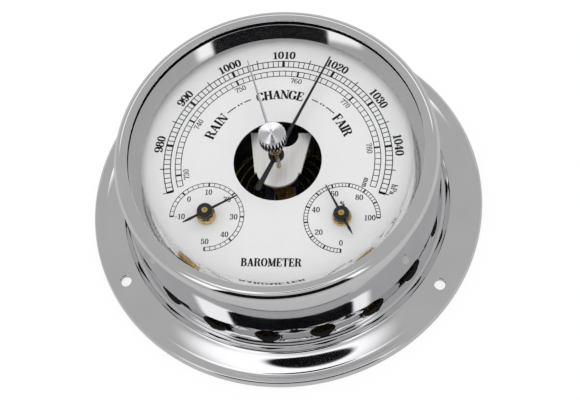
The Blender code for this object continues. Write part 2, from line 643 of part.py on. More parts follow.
def build_hairspring():
    inner = ARBOR_RADIUS + GAP + 0.2
    coil = spiral_mesh(inner, HAIRSPRING_RADIUS, 3.0, HAIRSPRING_BOTTOM, HAIRSPRING_TOP, 0.2, 12)
    add_part("hairspring", coil, "blued_steel")
    stud_x = HAIRSPRING_RADIUS + 1.0
    stud_top = BRIDGE_TOP - BRIDGE_THICKNESS - GAP
    stud = add_rod(bmesh.new(), (stud_x, 0.0, HAIRSPRING_BOTTOM - GAP), (stud_x, 0.0, stud_top), 0.5, 10)
    add_part("hairspring_stud", stud, "brass")


def build_capsule():
    """A flat corrugated metal box, on a foot, with a stud on its top."""
    origin = (*CAPSULE_CENTRE, 0.0)
    low, high = BASE_TOP + GAP, CAPSULE_BOTTOM - GAP
    foot = [(0.0, low), (CAPSULE_FOOT_RADIUS, low), (CAPSULE_FOOT_RADIUS, high), (0.0, high)]
    add_part("capsule_foot", turned_mesh(foot, 16), "brass", origin)
    middle = (CAPSULE_BOTTOM + CAPSULE_TOP) / 2.0
    last_wave = CAPSULE_RADIUS - 1.5
    steps = 2 * CAPSULE_WAVES
    top = [(CAPSULE_RADIUS, middle + 0.5), (last_wave, CAPSULE_TOP - CAPSULE_WAVE_DEPTH)]
    for step in range(steps, -1, -1):
        radius = CAPSULE_FIRST_WAVE + (last_wave - 1.2 - CAPSULE_FIRST_WAVE) * step / steps
        top.append((radius, CAPSULE_TOP - CAPSULE_WAVE_DEPTH * (step % 2)))
    top.append((0.0, CAPSULE_TOP))
    bottom = [(radius, 2.0 * middle - height) for radius, height in reversed(top)]
    add_part("aneroid_capsule", turned_mesh(bottom + top, 28), "brass", origin)
    low, high = CAPSULE_TOP + GAP, SPRING_STRIP_BOTTOM - GAP
    stud = [(0.0, low), (2.6, low), (2.6, low + 0.8), (1.4, low + 1.0), (1.4, high), (0.0, high)]
    add_part("capsule_stud", turned_mesh(stud, 16), "brass", origin)


def build_main_spring():
    """A C-shaped leaf: its foot is on the base, and its strip reaches over the capsule."""
    foot_low = BASE_TOP + GAP
    strip_top = SPRING_STRIP_BOTTOM + SPRING_THICKNESS
    bend = (strip_top - foot_low) / 2.0
    centre = (SPRING_BACK - bend, foot_low + bend)
    outer = arc(centre, (bend, bend), -90, 90, 12)
    inner = arc(centre, (bend - SPRING_THICKNESS, bend - SPRING_THICKNESS), 90, -90, 12)
    section = [(SPRING_FOOT_END, foot_low)] + outer
    section += [(SPRING_FRONT, strip_top), (SPRING_FRONT, SPRING_STRIP_BOTTOM)]
    section += inner + [(SPRING_FOOT_END, foot_low + SPRING_THICKNESS)]
    mesh = extruded_mesh(section, -SPRING_HALF_WIDTH, SPRING_HALF_WIDTH)
    swap = Matrix(((0, 0, 1), (1, 0, 0), (0, 1, 0)))
    bmesh.ops.transform(mesh, matrix=swap.to_4x4(), verts=mesh.verts)
    spring = add_part("main_spring", mesh, "blued_steel")
    holes = holes_mesh(SPRING_SCREW_PLACES, 1.1, foot_low - 1.0, foot_low + 3.0)
    combine(spring, add_guide("spring_hole_cutter", holes), "DIFFERENCE")


def build_main_lever():
    pivot_y, pivot_z = LEVER_PIVOT
    low_corner = (LEVER_X - 0.6, LEVER_END_Y - 1.0, pivot_z - 0.6)
    bar = add_box(bmesh.new(), low_corner, (LEVER_X + 0.6, CAPSULE_CENTRE[1], pivot_z + 0.5))
    bmesh.ops.translate(bar, vec=(0.0, -pivot_y, -pivot_z), verts=bar.verts)
    lever = add_part("main_lever", bar, "steel", (0.0, pivot_y, pivot_z))
    pin = add_rod(bmesh.new(), (LEVER_X - 2.2, 0.0, 0.0), (LEVER_X + 2.2, 0.0, 0.0), 0.45)
    combine(lever, add_guide("lever_pin", pin, (0.0, pivot_y, pivot_z)), "UNION")


def build_rocker():
    """A cross shaft: its long arm pulls the chain, and its short arm is moved by the link rod."""
    axis_y, axis_z = ROCKER_AXIS
    origin = (0.0, axis_y, axis_z)
    shaft = add_rod(bmesh.new(), (-8.2, 0.0, 0.0), (8.2, 0.0, 0.0), 0.8)
    rocker = add_part("rocker_shaft", shaft, "steel", origin)
    long_arm = add_box(bmesh.new(), (CHAIN_X - 0.5, -0.5, -0.4), (CHAIN_X + 0.5, 0.5, ROCKER_ARM_LENGTH))
    combine(rocker, add_guide("rocker_long_arm", long_arm, origin), "UNION")
    low_corner = (LEVER_X - 0.5, -ROCKER_SHORT_ARM - 1.0, -0.4)
    short_arm = add_box(bmesh.new(), low_corner, (LEVER_X + 0.5, 0.4, 0.4))
    combine(rocker, add_guide("rocker_short_arm", short_arm, origin), "UNION")


def build_rocker_bracket():
    axis_y, axis_z = ROCKER_AXIS
    low = BASE_TOP + GAP
    foot = add_box(bmesh.new(), (-7.8, axis_y - 2.2, low), (7.8, axis_y + 2.2, low + 0.9))
    bracket = add_part("rocker_bracket", foot, "brass")
    for side, left in enumerate((-7.8, 6.9), start=1):
        ear = add_box(bmesh.new(), (left, axis_y - 1.8, low + 0.4), (left + 0.9, axis_y + 1.8, axis_z + 1.8))
        combine(bracket, add_guide(f"rocker_ear_{side}", ear), "UNION")
    bore = add_rod(bmesh.new(), (-12.0, axis_y, axis_z), (12.0, axis_y, axis_z), 0.92)
    combine(bracket, add_guide("rocker_bore_cutter", bore), "DIFFERENCE")


def build_link_and_chain():
    axis_y, axis_z = ROCKER_AXIS
    link_y = axis_y - ROCKER_SHORT_ARM
    low, high = axis_z + 0.4 + GAP, LEVER_PIVOT[1] - 0.6 - GAP
    link = add_rod(bmesh.new(), (LEVER_X, link_y, low), (LEVER_X, link_y, high), 0.4, 10)
    add_part("link_rod", link, "steel")
    height = axis_z + ROCKER_ARM_LENGTH - 0.6
    chain = add_rod(bmesh.new(), (CHAIN_X, axis_y + 0.5 + GAP, height), (CHAIN_X, 0.0, height), 0.16, 6)
    add_part("chain", chain, "steel")


def build_calibration_screw():
    build_screw(
        "calibration_screw", CALIBRATION_PLACE,
        (CALIBRATION_HEAD_RADIUS, BACK_PLATE_TOP + GAP, BASE_BOTTOM - GAP),
        (1.6, BASE_BOTTOM, BASE_TOP - 0.05), slot_up=False, finish="brass")


# ---------------------------------------------------------------- setting knob and marker

def build_knob():
    """A shallow cone with a fluted rim."""
    mesh = bmesh.new()
    steps = KNOB_FLUTES * 2
    levels = [
        (KNOB_RADIUS - 0.5, KNOB_BOTTOM, 0.0), (KNOB_RADIUS - 0.05, KNOB_BOTTOM + 0.5, KNOB_FLUTE_DEPTH),
        (KNOB_RADIUS, KNOB_RIM_TOP - 0.5, KNOB_FLUTE_DEPTH), (KNOB_RADIUS - 0.3, KNOB_RIM_TOP, 0.0)]
    rings = []
    for radius, height, flute in levels:
        ring = []
        for step in range(steps):
            reach = radius - flute * (step % 2)
            angle = 2.0 * math.pi * step / steps
            ring.append(mesh.verts.new((reach * math.cos(angle), reach * math.sin(angle), height)))
        rings.append(ring)
    for low, high in zip(rings, rings[1:]):
        for step in range(steps):
            following = (step + 1) % steps
            mesh.faces.new((low[step], low[following], high[following], high[step]))
    mesh.faces.new(rings[0][::-1])
    apex = mesh.verts.new((0.0, 0.0, KNOB_APEX))
    for step in range(steps):
        mesh.faces.new((rings[-1][step], rings[-1][(step + 1) % steps], apex))
    add_part("setting_knob", mesh, "chrome")


def build_setting_stem():
    """The bush in the glass, a dished friction washer, and the stem between marker and knob."""
    seat = GLASS_TOP + GAP
    bush_top = seat + STEM_BUSH_HEIGHT
    neck, foot = STEM_BORE + 0.5, GLASS_BOTTOM + 0.1
    bush = [
        (STEM_BORE, foot), (neck, foot), (neck, seat), (STEM_BUSH_RADIUS, seat),
        (STEM_BUSH_RADIUS, bush_top), (STEM_BORE, bush_top)]
    add_part("stem_bush", turned_mesh(bush, 16), "brass")
    washer_low = bush_top + GAP
    washer_top = washer_low + 0.45
    bore, rim = FRICTION_WASHER
    washer = [(bore, washer_low), (rim, washer_low + 0.15), (rim, washer_top), (bore, washer_top - 0.15)]
    add_part("friction_washer", turned_mesh(washer, 16), "steel")
    collar_low = washer_top + GAP
    top = KNOB_BOTTOM - GAP
    stem = [
        (0.0, GLASS_BOTTOM), (STEM_RADIUS, GLASS_BOTTOM), (STEM_RADIUS, collar_low),
        (COLLAR_RADIUS, collar_low), (COLLAR_RADIUS, collar_low + 0.7),
        (STEM_RADIUS + 0.2, collar_low + 1.0), (STEM_RADIUS + 0.2, top), (0.0, top)]
    add_part("setting_stem", turned_mesh(stem, 12), "brass")


def build_marker():
    blade_bottom = GLASS_BOTTOM - GAP - HAND_THICKNESS
    hub = (MARKER_HUB_RADIUS, blade_bottom - 0.1, blade_bottom + HAND_THICKNESS)
    outline = hand_outline(*MARKER_OUTLINE)
    build_hand("marker_hand", (0.0, 0.0), MARKER_AZIMUTH, outline, blade_bottom, hub, 0.0, "steel")


def build_pressure_hand():
    outline = hand_outline(*PRESSURE_OUTLINE)
    build_hand(
        "pressure_hand", (0.0, 0.0), PRESSURE_AZIMUTH, outline,
        PRESSURE_BLADE_BOTTOM, PRESSURE_HUB, HUB_BORE)


def build_case():
    build_flange()
    build_wall()
    build_inner_rings()
    build_back_plate()
    for number, angle in enumerate(BACK_SCREW_ANGLES, start=1):
        build_screw(
            f"back_screw_{number}", on_circle(BACK_SCREW_CIRCLE, angle),
            (1.9, 0.15, BACK_PLATE_BOTTOM - 0.2),
            (0.9, BACK_PLATE_BOTTOM, BACK_RING_TOP - 0.1), slot_up=False)
    build_bezel()
    build_glass()
    build_gasket()
    build_reflector()


def build_movement():
    build_base()
    build_pillars()
    build_bridge()
    build_bridge_pillars()
    build_bearing_plate()
    build_arbor()
    build_hairspring()
    build_capsule()
    build_main_spring()
    for number, place in enumerate(SPRING_SCREW_PLACES, start=1):
        low = BASE_TOP + GAP + SPRING_THICKNESS
        build_screw(
            f"spring_screw_{number}", place, (1.8, low + 0.2, low + 1.2),
            (0.8, BASE_TOP + 0.1, low), slot_up=True)
    build_main_lever()
    build_rocker()
    build_rocker_bracket()
    build_link_and_chain()
    build_calibration_screw()


def main():
    clear_scene()
    build_case()
    build_dial()
    bush_top = DIAL_FACE + THERMOMETER_BUSH_HEIGHT
    build_instrument("thermometer", THERMOMETER_CENTRE, THERMOMETER_AZIMUTH, bush_top, "bimetal")
    bush_top = DIAL_FACE + HYGROMETER_BUSH_HEIGHT
    build_instrument("hygrometer", HYGROMETER_CENTRE, HYGROMETER_AZIMUTH, bush_top, "paper_ribbon")
    build_movement()
    build_pressure_hand()
    build_marker()
    build_setting_stem()
    build_knob()


main()
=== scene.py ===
"""The looks of a ship's barometer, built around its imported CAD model.

Sizes are in millimetres until a mesh is stored, and places come from the frame's nodes.
"""
import math

import bmesh
import bpy
from mathutils import Matrix, Vector


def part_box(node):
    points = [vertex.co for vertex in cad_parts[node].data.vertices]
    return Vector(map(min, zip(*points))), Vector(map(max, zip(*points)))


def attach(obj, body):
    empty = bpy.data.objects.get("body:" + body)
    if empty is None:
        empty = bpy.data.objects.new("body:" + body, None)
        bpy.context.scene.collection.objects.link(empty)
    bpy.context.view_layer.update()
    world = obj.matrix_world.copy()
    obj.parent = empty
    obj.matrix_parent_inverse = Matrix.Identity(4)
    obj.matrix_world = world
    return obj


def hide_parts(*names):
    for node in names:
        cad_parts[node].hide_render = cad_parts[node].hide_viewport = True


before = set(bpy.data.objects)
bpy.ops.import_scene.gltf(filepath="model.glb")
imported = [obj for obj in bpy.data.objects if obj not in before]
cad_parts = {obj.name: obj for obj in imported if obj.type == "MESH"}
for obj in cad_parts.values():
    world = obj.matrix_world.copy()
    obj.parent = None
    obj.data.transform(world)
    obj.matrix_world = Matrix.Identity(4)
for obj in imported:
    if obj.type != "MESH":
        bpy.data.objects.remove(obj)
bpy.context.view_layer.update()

MM = 0.001
FINE = 216                       # segments round the case, a multiple of the vents
COLUMN = 360.0 / FINE
SMALL = 96                       # segments round hubs, knob and screws

# Camera, as seen from the middle of the dial
CAMERA_AIM = (0.004545, -0.013432, 0.0307)
CAMERA_DISTANCE = 0.546142
CAMERA_AZIMUTH = 13.85
CAMERA_ELEVATION = 63.235
CAMERA_ROLL = -12.11
CAMERA_LENS = 111.72
SENSOR_WIDTH = 36.0

# Case
WALL_THICKNESS = 1.2
VENT_COUNT = 18
VENT_PHASE = 7.0
VENT_RADIUS = 4.0
VENT_HEIGHT = 8.7
VENT_BAND = (4.4, 13.0)
BAND_COLUMNS = 12
BAND_ROWS = 8
HOLE_CHAMFER = 0.12
PAINTED_SHADE_DEPTH = 0.15                # the wall is painted near black from this far under its outside, as painted shade inside the case
MOUNT_HOLE_RADIUS = 1.8
MOUNT_HOLE_CIRCLE = 57.2
MOUNT_HOLE_HEIGHT = 3.0
MOUNT_HOLE_ANGLES = (90.0, 210.0, 330.0)
MOUNT_BAND = (59.25, 54.4)
CONE_FOOT = 59.3
CONE_FOOT_HEIGHT = 2.3
CONE_TOP = 53.1
CONE_AIM = 52.5                  # radius where the cone's line meets the ridge's height
CONE_BULGE = 0.11
COVE_REACH = 0.5
RIM_CENTRE = (61.6, 0.7)
RIM_SHOULDER = ((60.2, 0.0), (59.7, 0.005), (59.5, 0.02))       # radius, rise over the cone's foot
RIDGE_EDGE = ((52.8, 0.11), (52.55, 0.03), (52.3, 0.03), (52.1, 0.12))   # radius, drop from its top
GROOVE = (
    (51.8, 3.3), (51.4, 3.1), (51.0, 3.0), (50.6, 3.0), (50.25, 3.1), (49.98, 3.3), (49.78, 3.55),
    (49.64, 3.85), (49.55, 4.15))
HOLLOW_INNER = ((51.3, 0.0), (51.5, 0.2), (51.5, 1.75), (51.7, 1.9))     # under the flange
HOLLOW_OUTER = ((59.6, 0.95), (60.0, 0.9), (60.0, 0.15), (60.15, 0.0))
HOLLOW_CEILING = (1.02, 1.6)     # heights at the two radii of the mount band

# Bezel, glass, reflector, dial and back
BEZEL_THICKNESS = 0.6
BEZEL_MOUTH = 45.4
BEZEL_CROWN = (2.8, 3.0)         # its arc's reach inwards and downwards
GLASS_HOLE_RADIUS = 1.7
GASKET_WIDTH = 1.1
REFLECTOR_MOUTH, REFLECTOR_RIM, REFLECTOR_LIP = 41.9, 45.3, 33.4
REFLECTOR_THICKNESS = 0.5
BACK_GROOVE = (30.0, 34.3)
BACK_GROOVE_DEPTH = 0.25
DIAL_WINDOW = 13.6
ROUND = 48                       # segments of pins and small holes

# Hands, arbors and knob
SMALL_HAND = (11.0, 0.9, 0.3, 7.6, 0.85)          # tip, root width, tip width, tail, tail width
PRESSURE_HAND = (37.6, 1.15, 0.45, 13.0, 1.7)
MARKER_HAND = (33.8, 1.0, 0.4, 4.4, 1.0)
BLADE_THICKNESS = 0.4
PRESSURE_BLADE_BOTTOM = 34.3
ARBOR_HEAD = 1.0
CENTRE_ARBOR_SHAFT, CENTRE_ARBOR_SEAT = 0.6, 33.2
KNOB_FLUTES = 24
FLUTE_STEPS = 10
FLUTE_DEPTH = 0.36
# The knob's levels: distance in from its radius, height over its bottom or rim, share of the flutes
KNOB_FOOT = ((0.9, 0.0, 0.0), (0.35, 0.08, 0.0), (0.12, 0.3, 0.35), (0.02, 0.6, 1.0), (0.0, 1.6, 1.0))
KNOB_EDGE = ((0.0, -0.6, 1.0), (0.06, -0.25, 0.7), (0.2, -0.06, 0.2), (0.4, 0.02, 0.0))
KNOB_CONE_SHARES = (0.02, 0.25, 0.5, 0.75, 0.93)

# Scales, as azimuths from three o'clock
PRESSURE_MIDDLE = 1010.0
DEGREES_PER_HECTOPASCAL = 2.715
PRESSURE_LOW, PRESSURE_HIGH = 970, 1050
HECTOPASCALS_PER_MILLIMETRE = 1.333224
INK_HEIGHT = 0.03
INK_SINK = 0.02
HECTOPASCAL_BAND = (33.2, 35.3)
MERCURY_BAND = (29.9, 31.7)
MERCURY_VALUES = range(728, 788)
WORD_RADIUS, WORD_HEIGHT = 23.3, 3.0
WORDS = (("RAIN", 160.6, 137.5), ("CHANGE", 109.5, 72.4), ("FAIR", 42.5, 22.1))
DASH_RADIUS = 23.5
DASHES = ((135.0, 127.0), (119.5, 114.0), (66.0, 60.5), (53.0, 44.5))
DOTS = (124.5, 122.0, 58.0, 55.5)
TITLE_PLACE = (0.0, -34.2)
THERMOMETER_BAND = (10.2, 11.4)
HYGROMETER_BAND = (10.4, 11.6)

PRESSURE_AZIMUTH = 66.6
MARKER_AZIMUTH = 108.3
THERMOMETER_AZIMUTH = 30.0
HYGROMETER_AZIMUTH = 118.0

# Light. Glossy rays see the dome with the panels and ovals laid over it in this order. Each panel
# has a colour, azimuth, half width, lowest and highest elevation, and softness of its edge. Each
# oval has a colour, azimuth, elevation, two half sizes and softness.
WHITE = (1.0, 1.0, 1.0, 1.0)
DOME = (0.475, 0.475, 0.472, 1.0)
DIFFUSE_LIGHT = (1.22, 1.22, 1.22, 1.0)
WHITE_PANEL = (1.25, 1.25, 1.25, 1.0)
BLACK_PANEL = (0.004, 0.004, 0.005, 1.0)
PANELS = (
    (WHITE_PANEL, -93.0, 54.0, 30.0, 56.0, 3.0),
    (BLACK_PANEL, -88.0, 38.0, 16.0, 55.0, 1.2),
    (WHITE_PANEL, 95.0, 50.0, 31.0, 41.0, 2.0),
)
OVALS = (
    (WHITE_PANEL, 180.0, 85.0, 11.0, 15.0, 0.3),
    (BLACK_PANEL, 175.0, 88.5, 5.2, 6.8, 0.12),
)
FLOOR_HALF_WIDTH = 3.0           # metres
FLOOR_DROP = 0.0002
FLOOR_GLOW = 0.82                # share of the floor's colour that is its own light


# ---------------------------------------------------------------- places from the frame

BOXES = {name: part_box(name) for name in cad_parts}


def low(node):
    """A node's lowest point."""
    return BOXES[node][0][2] / MM


def high(node):
    """A node's highest point."""
    return BOXES[node][1][2] / MM


def half_width(node):
    """Half a node's width along X."""
    lowest, highest = BOXES[node]
    return (highest[0] - lowest[0]) / 2.0 / MM


def middle(node):
    """The middle of a node's box, seen from above."""
    lowest, highest = BOXES[node]
    return ((lowest[0] + highest[0]) / 2.0 / MM, (lowest[1] + highest[1]) / 2.0 / MM)


DIAL_FACE = high("dial_plate")
THERMOMETER_CENTRE = middle("thermometer_bush")
HYGROMETER_CENTRE = middle("hygrometer_bush")


# ---------------------------------------------------------------- mesh helpers

def polar(radius, angle):
    """A point from its radius and azimuth."""
    return (radius * math.cos(math.radians(angle)), radius * math.sin(math.radians(angle)))


def arc(centre, radii, first, last, steps):
    """Points along an ellipse's arc, both ends included, in degrees."""
    points = []
    for step in range(steps + 1):
        angle = math.radians(first + (last - first) * step / steps)
        points.append((centre[0] + radii[0] * math.cos(angle), centre[1] + radii[1] * math.sin(angle)))
    return points


def soften(points, radius, steps=4, least_turn=20.0):
    """Round the corners of a closed outline; shallow corners stay, since they belong to a curve."""
    rounded = []
    count = len(points)
    for index, corner in enumerate(points):
        corner = Vector(corner)
        before = Vector(points[index - 1]) - corner
        after = Vector(points[(index + 1) % count]) - corner
        turn = 180.0 - math.degrees(before.angle(after))
        if turn < least_turn or corner.x == 0.0:
            rounded.append(tuple(corner))
            continue
        cut = min(radius, before.length * 0.45, after.length * 0.45)
        start, end = corner + before.normalized() * cut, corner + after.normalized() * cut
        for step in range(steps + 1):
            share = step / steps
            point = start * (1 - share) ** 2 + corner * 2 * share * (1 - share) + end * share ** 2
            rounded.append(tuple(point))
    return rounded


def turned(profile, segments=FINE):
    """Spin a closed outline of (radius, height) points about the Z axis."""
    mesh = bmesh.new()
    rings = []
    for radius, height in profile:
        if radius < 1e-6:
            rings.append([mesh.verts.new((0.0, 0.0, height))] * segments)
        else:
            ring = [(*polar(radius, 360.0 * step / segments), height) for step in range(segments)]
            rings.append([mesh.verts.new(point) for point in ring])
    for near, far in zip(rings, rings[1:] + rings[:1]):
        for step in range(segments):
            following = (step + 1) % segments
            corners = [near[step], near[following], far[following], far[step]]
            face = list(dict.fromkeys(corners))
            if len(face) > 2:
                mesh.faces.new(face)
    return mesh


def extruded(outline, bottom, top, bevel=0.0):
    """A flat plate; its upper edge is beveled where asked."""
    mesh = bmesh.new()
    face = mesh.faces.new([mesh.verts.new((x, y, bottom)) for x, y in outline])
    grown = bmesh.ops.extrude_face_region(mesh, geom=[face])
    raised = [part for part in grown["geom"] if isinstance(part, bmesh.types.BMVert)]
    bmesh.ops.translate(mesh, vec=(0.0, 0.0, top - bottom), verts=raised)
    if bevel > 0.0:
        upper = set(raised)
        rim = [edge for edge in mesh.edges if set(edge.verts) <= upper]
        bmesh.ops.bevel(
            mesh, geom=rim, offset=bevel, offset_type="OFFSET", segments=3, profile=0.5, affect="EDGES",
            clamp_overlap=True)
    return mesh


def joined(*meshes):
    """One mesh of several closed shells."""
    whole = bmesh.new()
    for part in meshes:
        shell = bpy.data.meshes.new("shell")
        part.to_mesh(shell)
        part.free()
        whole.from_mesh(shell)
        bpy.data.meshes.remove(shell)
    return whole


def moved(mesh, place=(0.0, 0.0), turn=0.0):
    """The mesh, turned about the Z axis and then put at a place."""
    matrix = Matrix.Translation((*place, 0.0)) @ Matrix.Rotation(math.radians(turn), 4, "Z")
    bmesh.ops.transform(mesh, matrix=matrix, verts=mesh.verts)
    return mesh


def store(name, mesh, materials, nodes, body="case", smooth=32.0):
    """Keep a mesh in millimetres as a piece that rides on a body and stands for CAD nodes."""
    bmesh.ops.remove_doubles(mesh, verts=mesh.verts, dist=0.0002)
    bmesh.ops.recalc_face_normals(mesh, faces=mesh.faces)
    bmesh.ops.scale(mesh, vec=(MM, MM, MM), verts=mesh.verts)
    data = bpy.data.meshes.new(name)
    mesh.to_mesh(data)
    mesh.free()
    data.shade_smooth()
    data.set_sharp_from_angle(angle=math.radians(smooth))
    item = bpy.data.objects.new(name, data)
    bpy.context.scene.collection.objects.link(item)
    for material in materials:
        data.materials.append(material)
    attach(item, body)
    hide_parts(*nodes)
    return item


def tube(inner, outer, bottom, top):
    """The outline of a plain ring or disc."""
    return [(inner, bottom), (outer, bottom), (outer, top), (inner, top)]


def keep_turned(name, profile, softness, material, node, segments=SMALL, centre=(0.0, 0.0),
    body="case"):
    """Spin an outline with softened edges into the piece that stands for one node."""
    mesh = moved(turned(soften(profile, softness), segments), centre)
    return store(name, mesh, (material,), (node,), body)


def carve(item, cutter_mesh):
    """Cut a closed mesh in millimetres out of a stored piece."""
    bmesh.ops.scale(cutter_mesh, vec=(MM, MM, MM), verts=cutter_mesh.verts)
    bmesh.ops.recalc_face_normals(cutter_mesh, faces=cutter_mesh.faces)
    data = bpy.data.meshes.new("cutter")
    cutter_mesh.to_mesh(data)
    cutter_mesh.free()
    cutter = bpy.data.objects.new("cutter", data)
    bpy.context.scene.collection.objects.link(cutter)
    modifier = item.modifiers.new("carve", "BOOLEAN")
    modifier.solver = "EXACT"
    modifier.object = cutter
    shown = item.evaluated_get(bpy.context.evaluated_depsgraph_get())
    carved = bpy.data.meshes.new_from_object(shown)
    item.modifiers.remove(modifier)
    item.data = carved
    bpy.data.objects.remove(cutter)
    carved.shade_smooth()
    carved.set_sharp_from_angle(angle=math.radians(32.0))


# ---------------------------------------------------------------- case

def ring_of(mesh, radius, height):
    """One row of vertices round the case; its columns line up with the vents."""
    first = VENT_PHASE - 180.0 / VENT_COUNT
    return [mesh.verts.new((*polar(radius, first + COLUMN * step), height)) for step in range(FINE)]


def hole_loop(mesh, border, centre_angle, reach, hole_radius, upright, place_on):
    """A round loop of vertices opposite a rectangular border, in the border's order."""
    loop = []
    tangent = Vector((*polar(1.0, centre_angle + 90.0), 0.0))
    outward = Vector((*polar(1.0, centre_angle), 0.0))
    along = Vector((0.0, 0.0, 1.0)) if upright else outward
    for corner in border:
        offset = corner.co - outward * reach[0] - Vector((0.0, 0.0, reach[1]))
        direction = math.atan2(offset.dot(along), offset.dot(tangent) * 0.62)
        aside, up = hole_radius * math.cos(direction), hole_radius * math.sin(direction)
        loop.append(mesh.verts.new(place_on(centre_angle, aside, up)))
    return loop


def band(mesh, lower, upper, holes, hole_centre, upright, place_on, hole_radius):
    """Fill the strip between two rows with quads, leaving round holes in some sectors.

    holes maps a sector's first column to the azimuth of its hole. The loops round the
    holes come back by first column.
    """
    rows = [lower]
    for row in range(1, BAND_ROWS):
        share = row / BAND_ROWS
        rows.append([
            mesh.verts.new(near.co.lerp(far.co, share)) for near, far in zip(lower, upper)])
    rows.append(upper)
    taken = set()
    loops = {}
    for first, angle in holes.items():
        columns = [(first + step) % FINE for step in range(BAND_COLUMNS + 1)]
        taken.update(columns[:-1])
        border = [rows[0][column] for column in columns[:-1]]
        border += [rows[row][columns[-1]] for row in range(BAND_ROWS)]
        border += [rows[-1][column] for column in reversed(columns[1:])]
        border += [rows[row][columns[0]] for row in range(BAND_ROWS, 0, -1)]
        loop = hole_loop(mesh, border, angle, hole_centre, hole_radius, upright, place_on)
        for index in range(len(border)):
            following = (index + 1) % len(border)
            mesh.faces.new((border[index], border[following], loop[following], loop[index]))
        loops[first] = loop
    for near, far in zip(rows, rows[1:]):
        for column in range(FINE):
            if column not in taken:
                following = (column + 1) % FINE
                mesh.faces.new((near[column], near[following], far[following], far[column]))
    for row in rows[1:-1]:
        for corner in [corner for corner in row if not corner.link_faces]:
            mesh.verts.remove(corner)
    return loops


def bridge(mesh, first, second):
    """Faces between two closed loops of the same length."""
    for index in range(len(first)):
        following = (index + 1) % len(first)
        mesh.faces.new((first[index], first[following], second[following], second[index]))


def cup_profile():
    """The case's outline from the flange's rim over the wall to the inside, in five stretches."""
    rim = half_width("mounting_flange")
    ridge_top = high("mounting_flange")
    wall = half_width("case_wall")
    inner = wall - WALL_THICKNESS
    top = high("case_wall")
    slope = (ridge_top - CONE_FOOT_HEIGHT) / (CONE_FOOT - CONE_AIM)

    def on_cone(radius):
        return (radius, CONE_FOOT_HEIGHT + (CONE_FOOT - radius) * slope)

    edge_radius, edge_height = RIM_CENTRE
    outside = [(rim - 0.15, 0.0), (rim, 0.15)]
    outside += arc(RIM_CENTRE, (rim - edge_radius, CONE_FOOT_HEIGHT - edge_height), 0, 90, 14)
    outside += [(radius, CONE_FOOT_HEIGHT + lift) for radius, lift in RIM_SHOULDER]
    outside += [on_cone(MOUNT_BAND[0])]
    ridge = [on_cone(MOUNT_BAND[1]), on_cone(CONE_TOP)]
    ridge += [(radius, ridge_top - drop) for radius, drop in RIDGE_EDGE]
    ridge += [*GROOVE, (wall, VENT_BAND[0])]
    crest = [(wall, VENT_BAND[1]), (wall, 20.0), (wall, top - 0.2), (wall - 0.2, top)]
    crest += [(inner + 0.2, top), (inner, top - 0.2), (inner, VENT_BAND[1])]
    foot = [(inner, VENT_BAND[0]), (inner, 0.2), (inner + 0.2, 0.0)]
    foot += [*HOLLOW_INNER, (MOUNT_BAND[1], HOLLOW_CEILING[1])]
    heel = [(MOUNT_BAND[0], HOLLOW_CEILING[0]), *HOLLOW_OUTER]
    return outside, ridge, crest, foot, heel


def round_flange(mesh):
    """Turn the flange's straight cone into a slightly convex one."""
    rise = high("mounting_flange") - CONE_FOOT_HEIGHT
    for corner in mesh.verts:
        share = (CONE_FOOT - corner.co.xy.length) / (CONE_FOOT - CONE_TOP)
        if 0.0 < share < 1.0 and corner.co.z > CONE_FOOT_HEIGHT + rise * share - 0.5:
            corner.co.z += 4.0 * CONE_BULGE * share * (1.0 - share)


def flare_wall(mesh):
    """Let the wall widen in a shallow cove towards the groove."""
    wall = half_width("case_wall")
    for corner in mesh.verts:
        radius = corner.co.xy.length
        share = (VENT_BAND[1] - corner.co.z) / (VENT_BAND[1] - VENT_BAND[0])
        if wall - 0.5 < radius < wall + 0.05 and 0.0 < share < 1.01:
            wider = (radius + COVE_REACH * share ** 2.2) / radius
            corner.co.x *= wider
            corner.co.y *= wider


def on_wall(radius):
    """A rule that lays a vent's edge on a cylinder round the case."""
    def place(angle, aside, up):
        turn = math.degrees(math.asin(aside / radius))
        return (*polar(radius, angle + turn), VENT_HEIGHT + up)
    return place


def on_flange(near, far):
    """A rule that lays a screw hole's edge on the cone between two points of the outline."""
    def place(angle, aside, up):
        centre = Vector(polar(MOUNT_HOLE_CIRCLE, angle))
        spot = centre + Vector(polar(up, angle)) + Vector(polar(aside, angle + 90.0))
        share = (spot.length - near[0]) / (far[0] - near[0])
        return (spot.x, spot.y, near[1] + (far[1] - near[1]) * share)
    return place


def cut_vents(mesh, outer_rows, inner_rows):
    """Fill both sides of the wall and join them through the vents, with chamfered outer edges."""
    wall = half_width("case_wall")
    inner = wall - WALL_THICKNESS
    vents = {index * BAND_COLUMNS: VENT_PHASE + 360.0 * index / VENT_COUNT for index in range(VENT_COUNT)}
    wide = VENT_RADIUS + HOLE_CHAMFER
    outer_loops = band(mesh, *outer_rows, vents, (wall, VENT_HEIGHT), True, on_wall(wall), wide)
    inner_loops = band(mesh, *inner_rows, vents, (inner, VENT_HEIGHT), True, on_wall(inner), VENT_RADIUS)
    edge = on_wall(wall - HOLE_CHAMFER)
    share = VENT_RADIUS / wide
    for first, angle in vents.items():
        tangent = Vector((*polar(1.0, angle + 90.0), 0.0))
        step = []
        for corner in outer_loops[first]:
            aside, up = corner.co.dot(tangent), corner.co.z - VENT_HEIGHT
            step.append(mesh.verts.new(edge(angle, aside * share, up * share)))
        bridge(mesh, outer_loops[first], step)
        bridge(mesh, step, inner_loops[first])


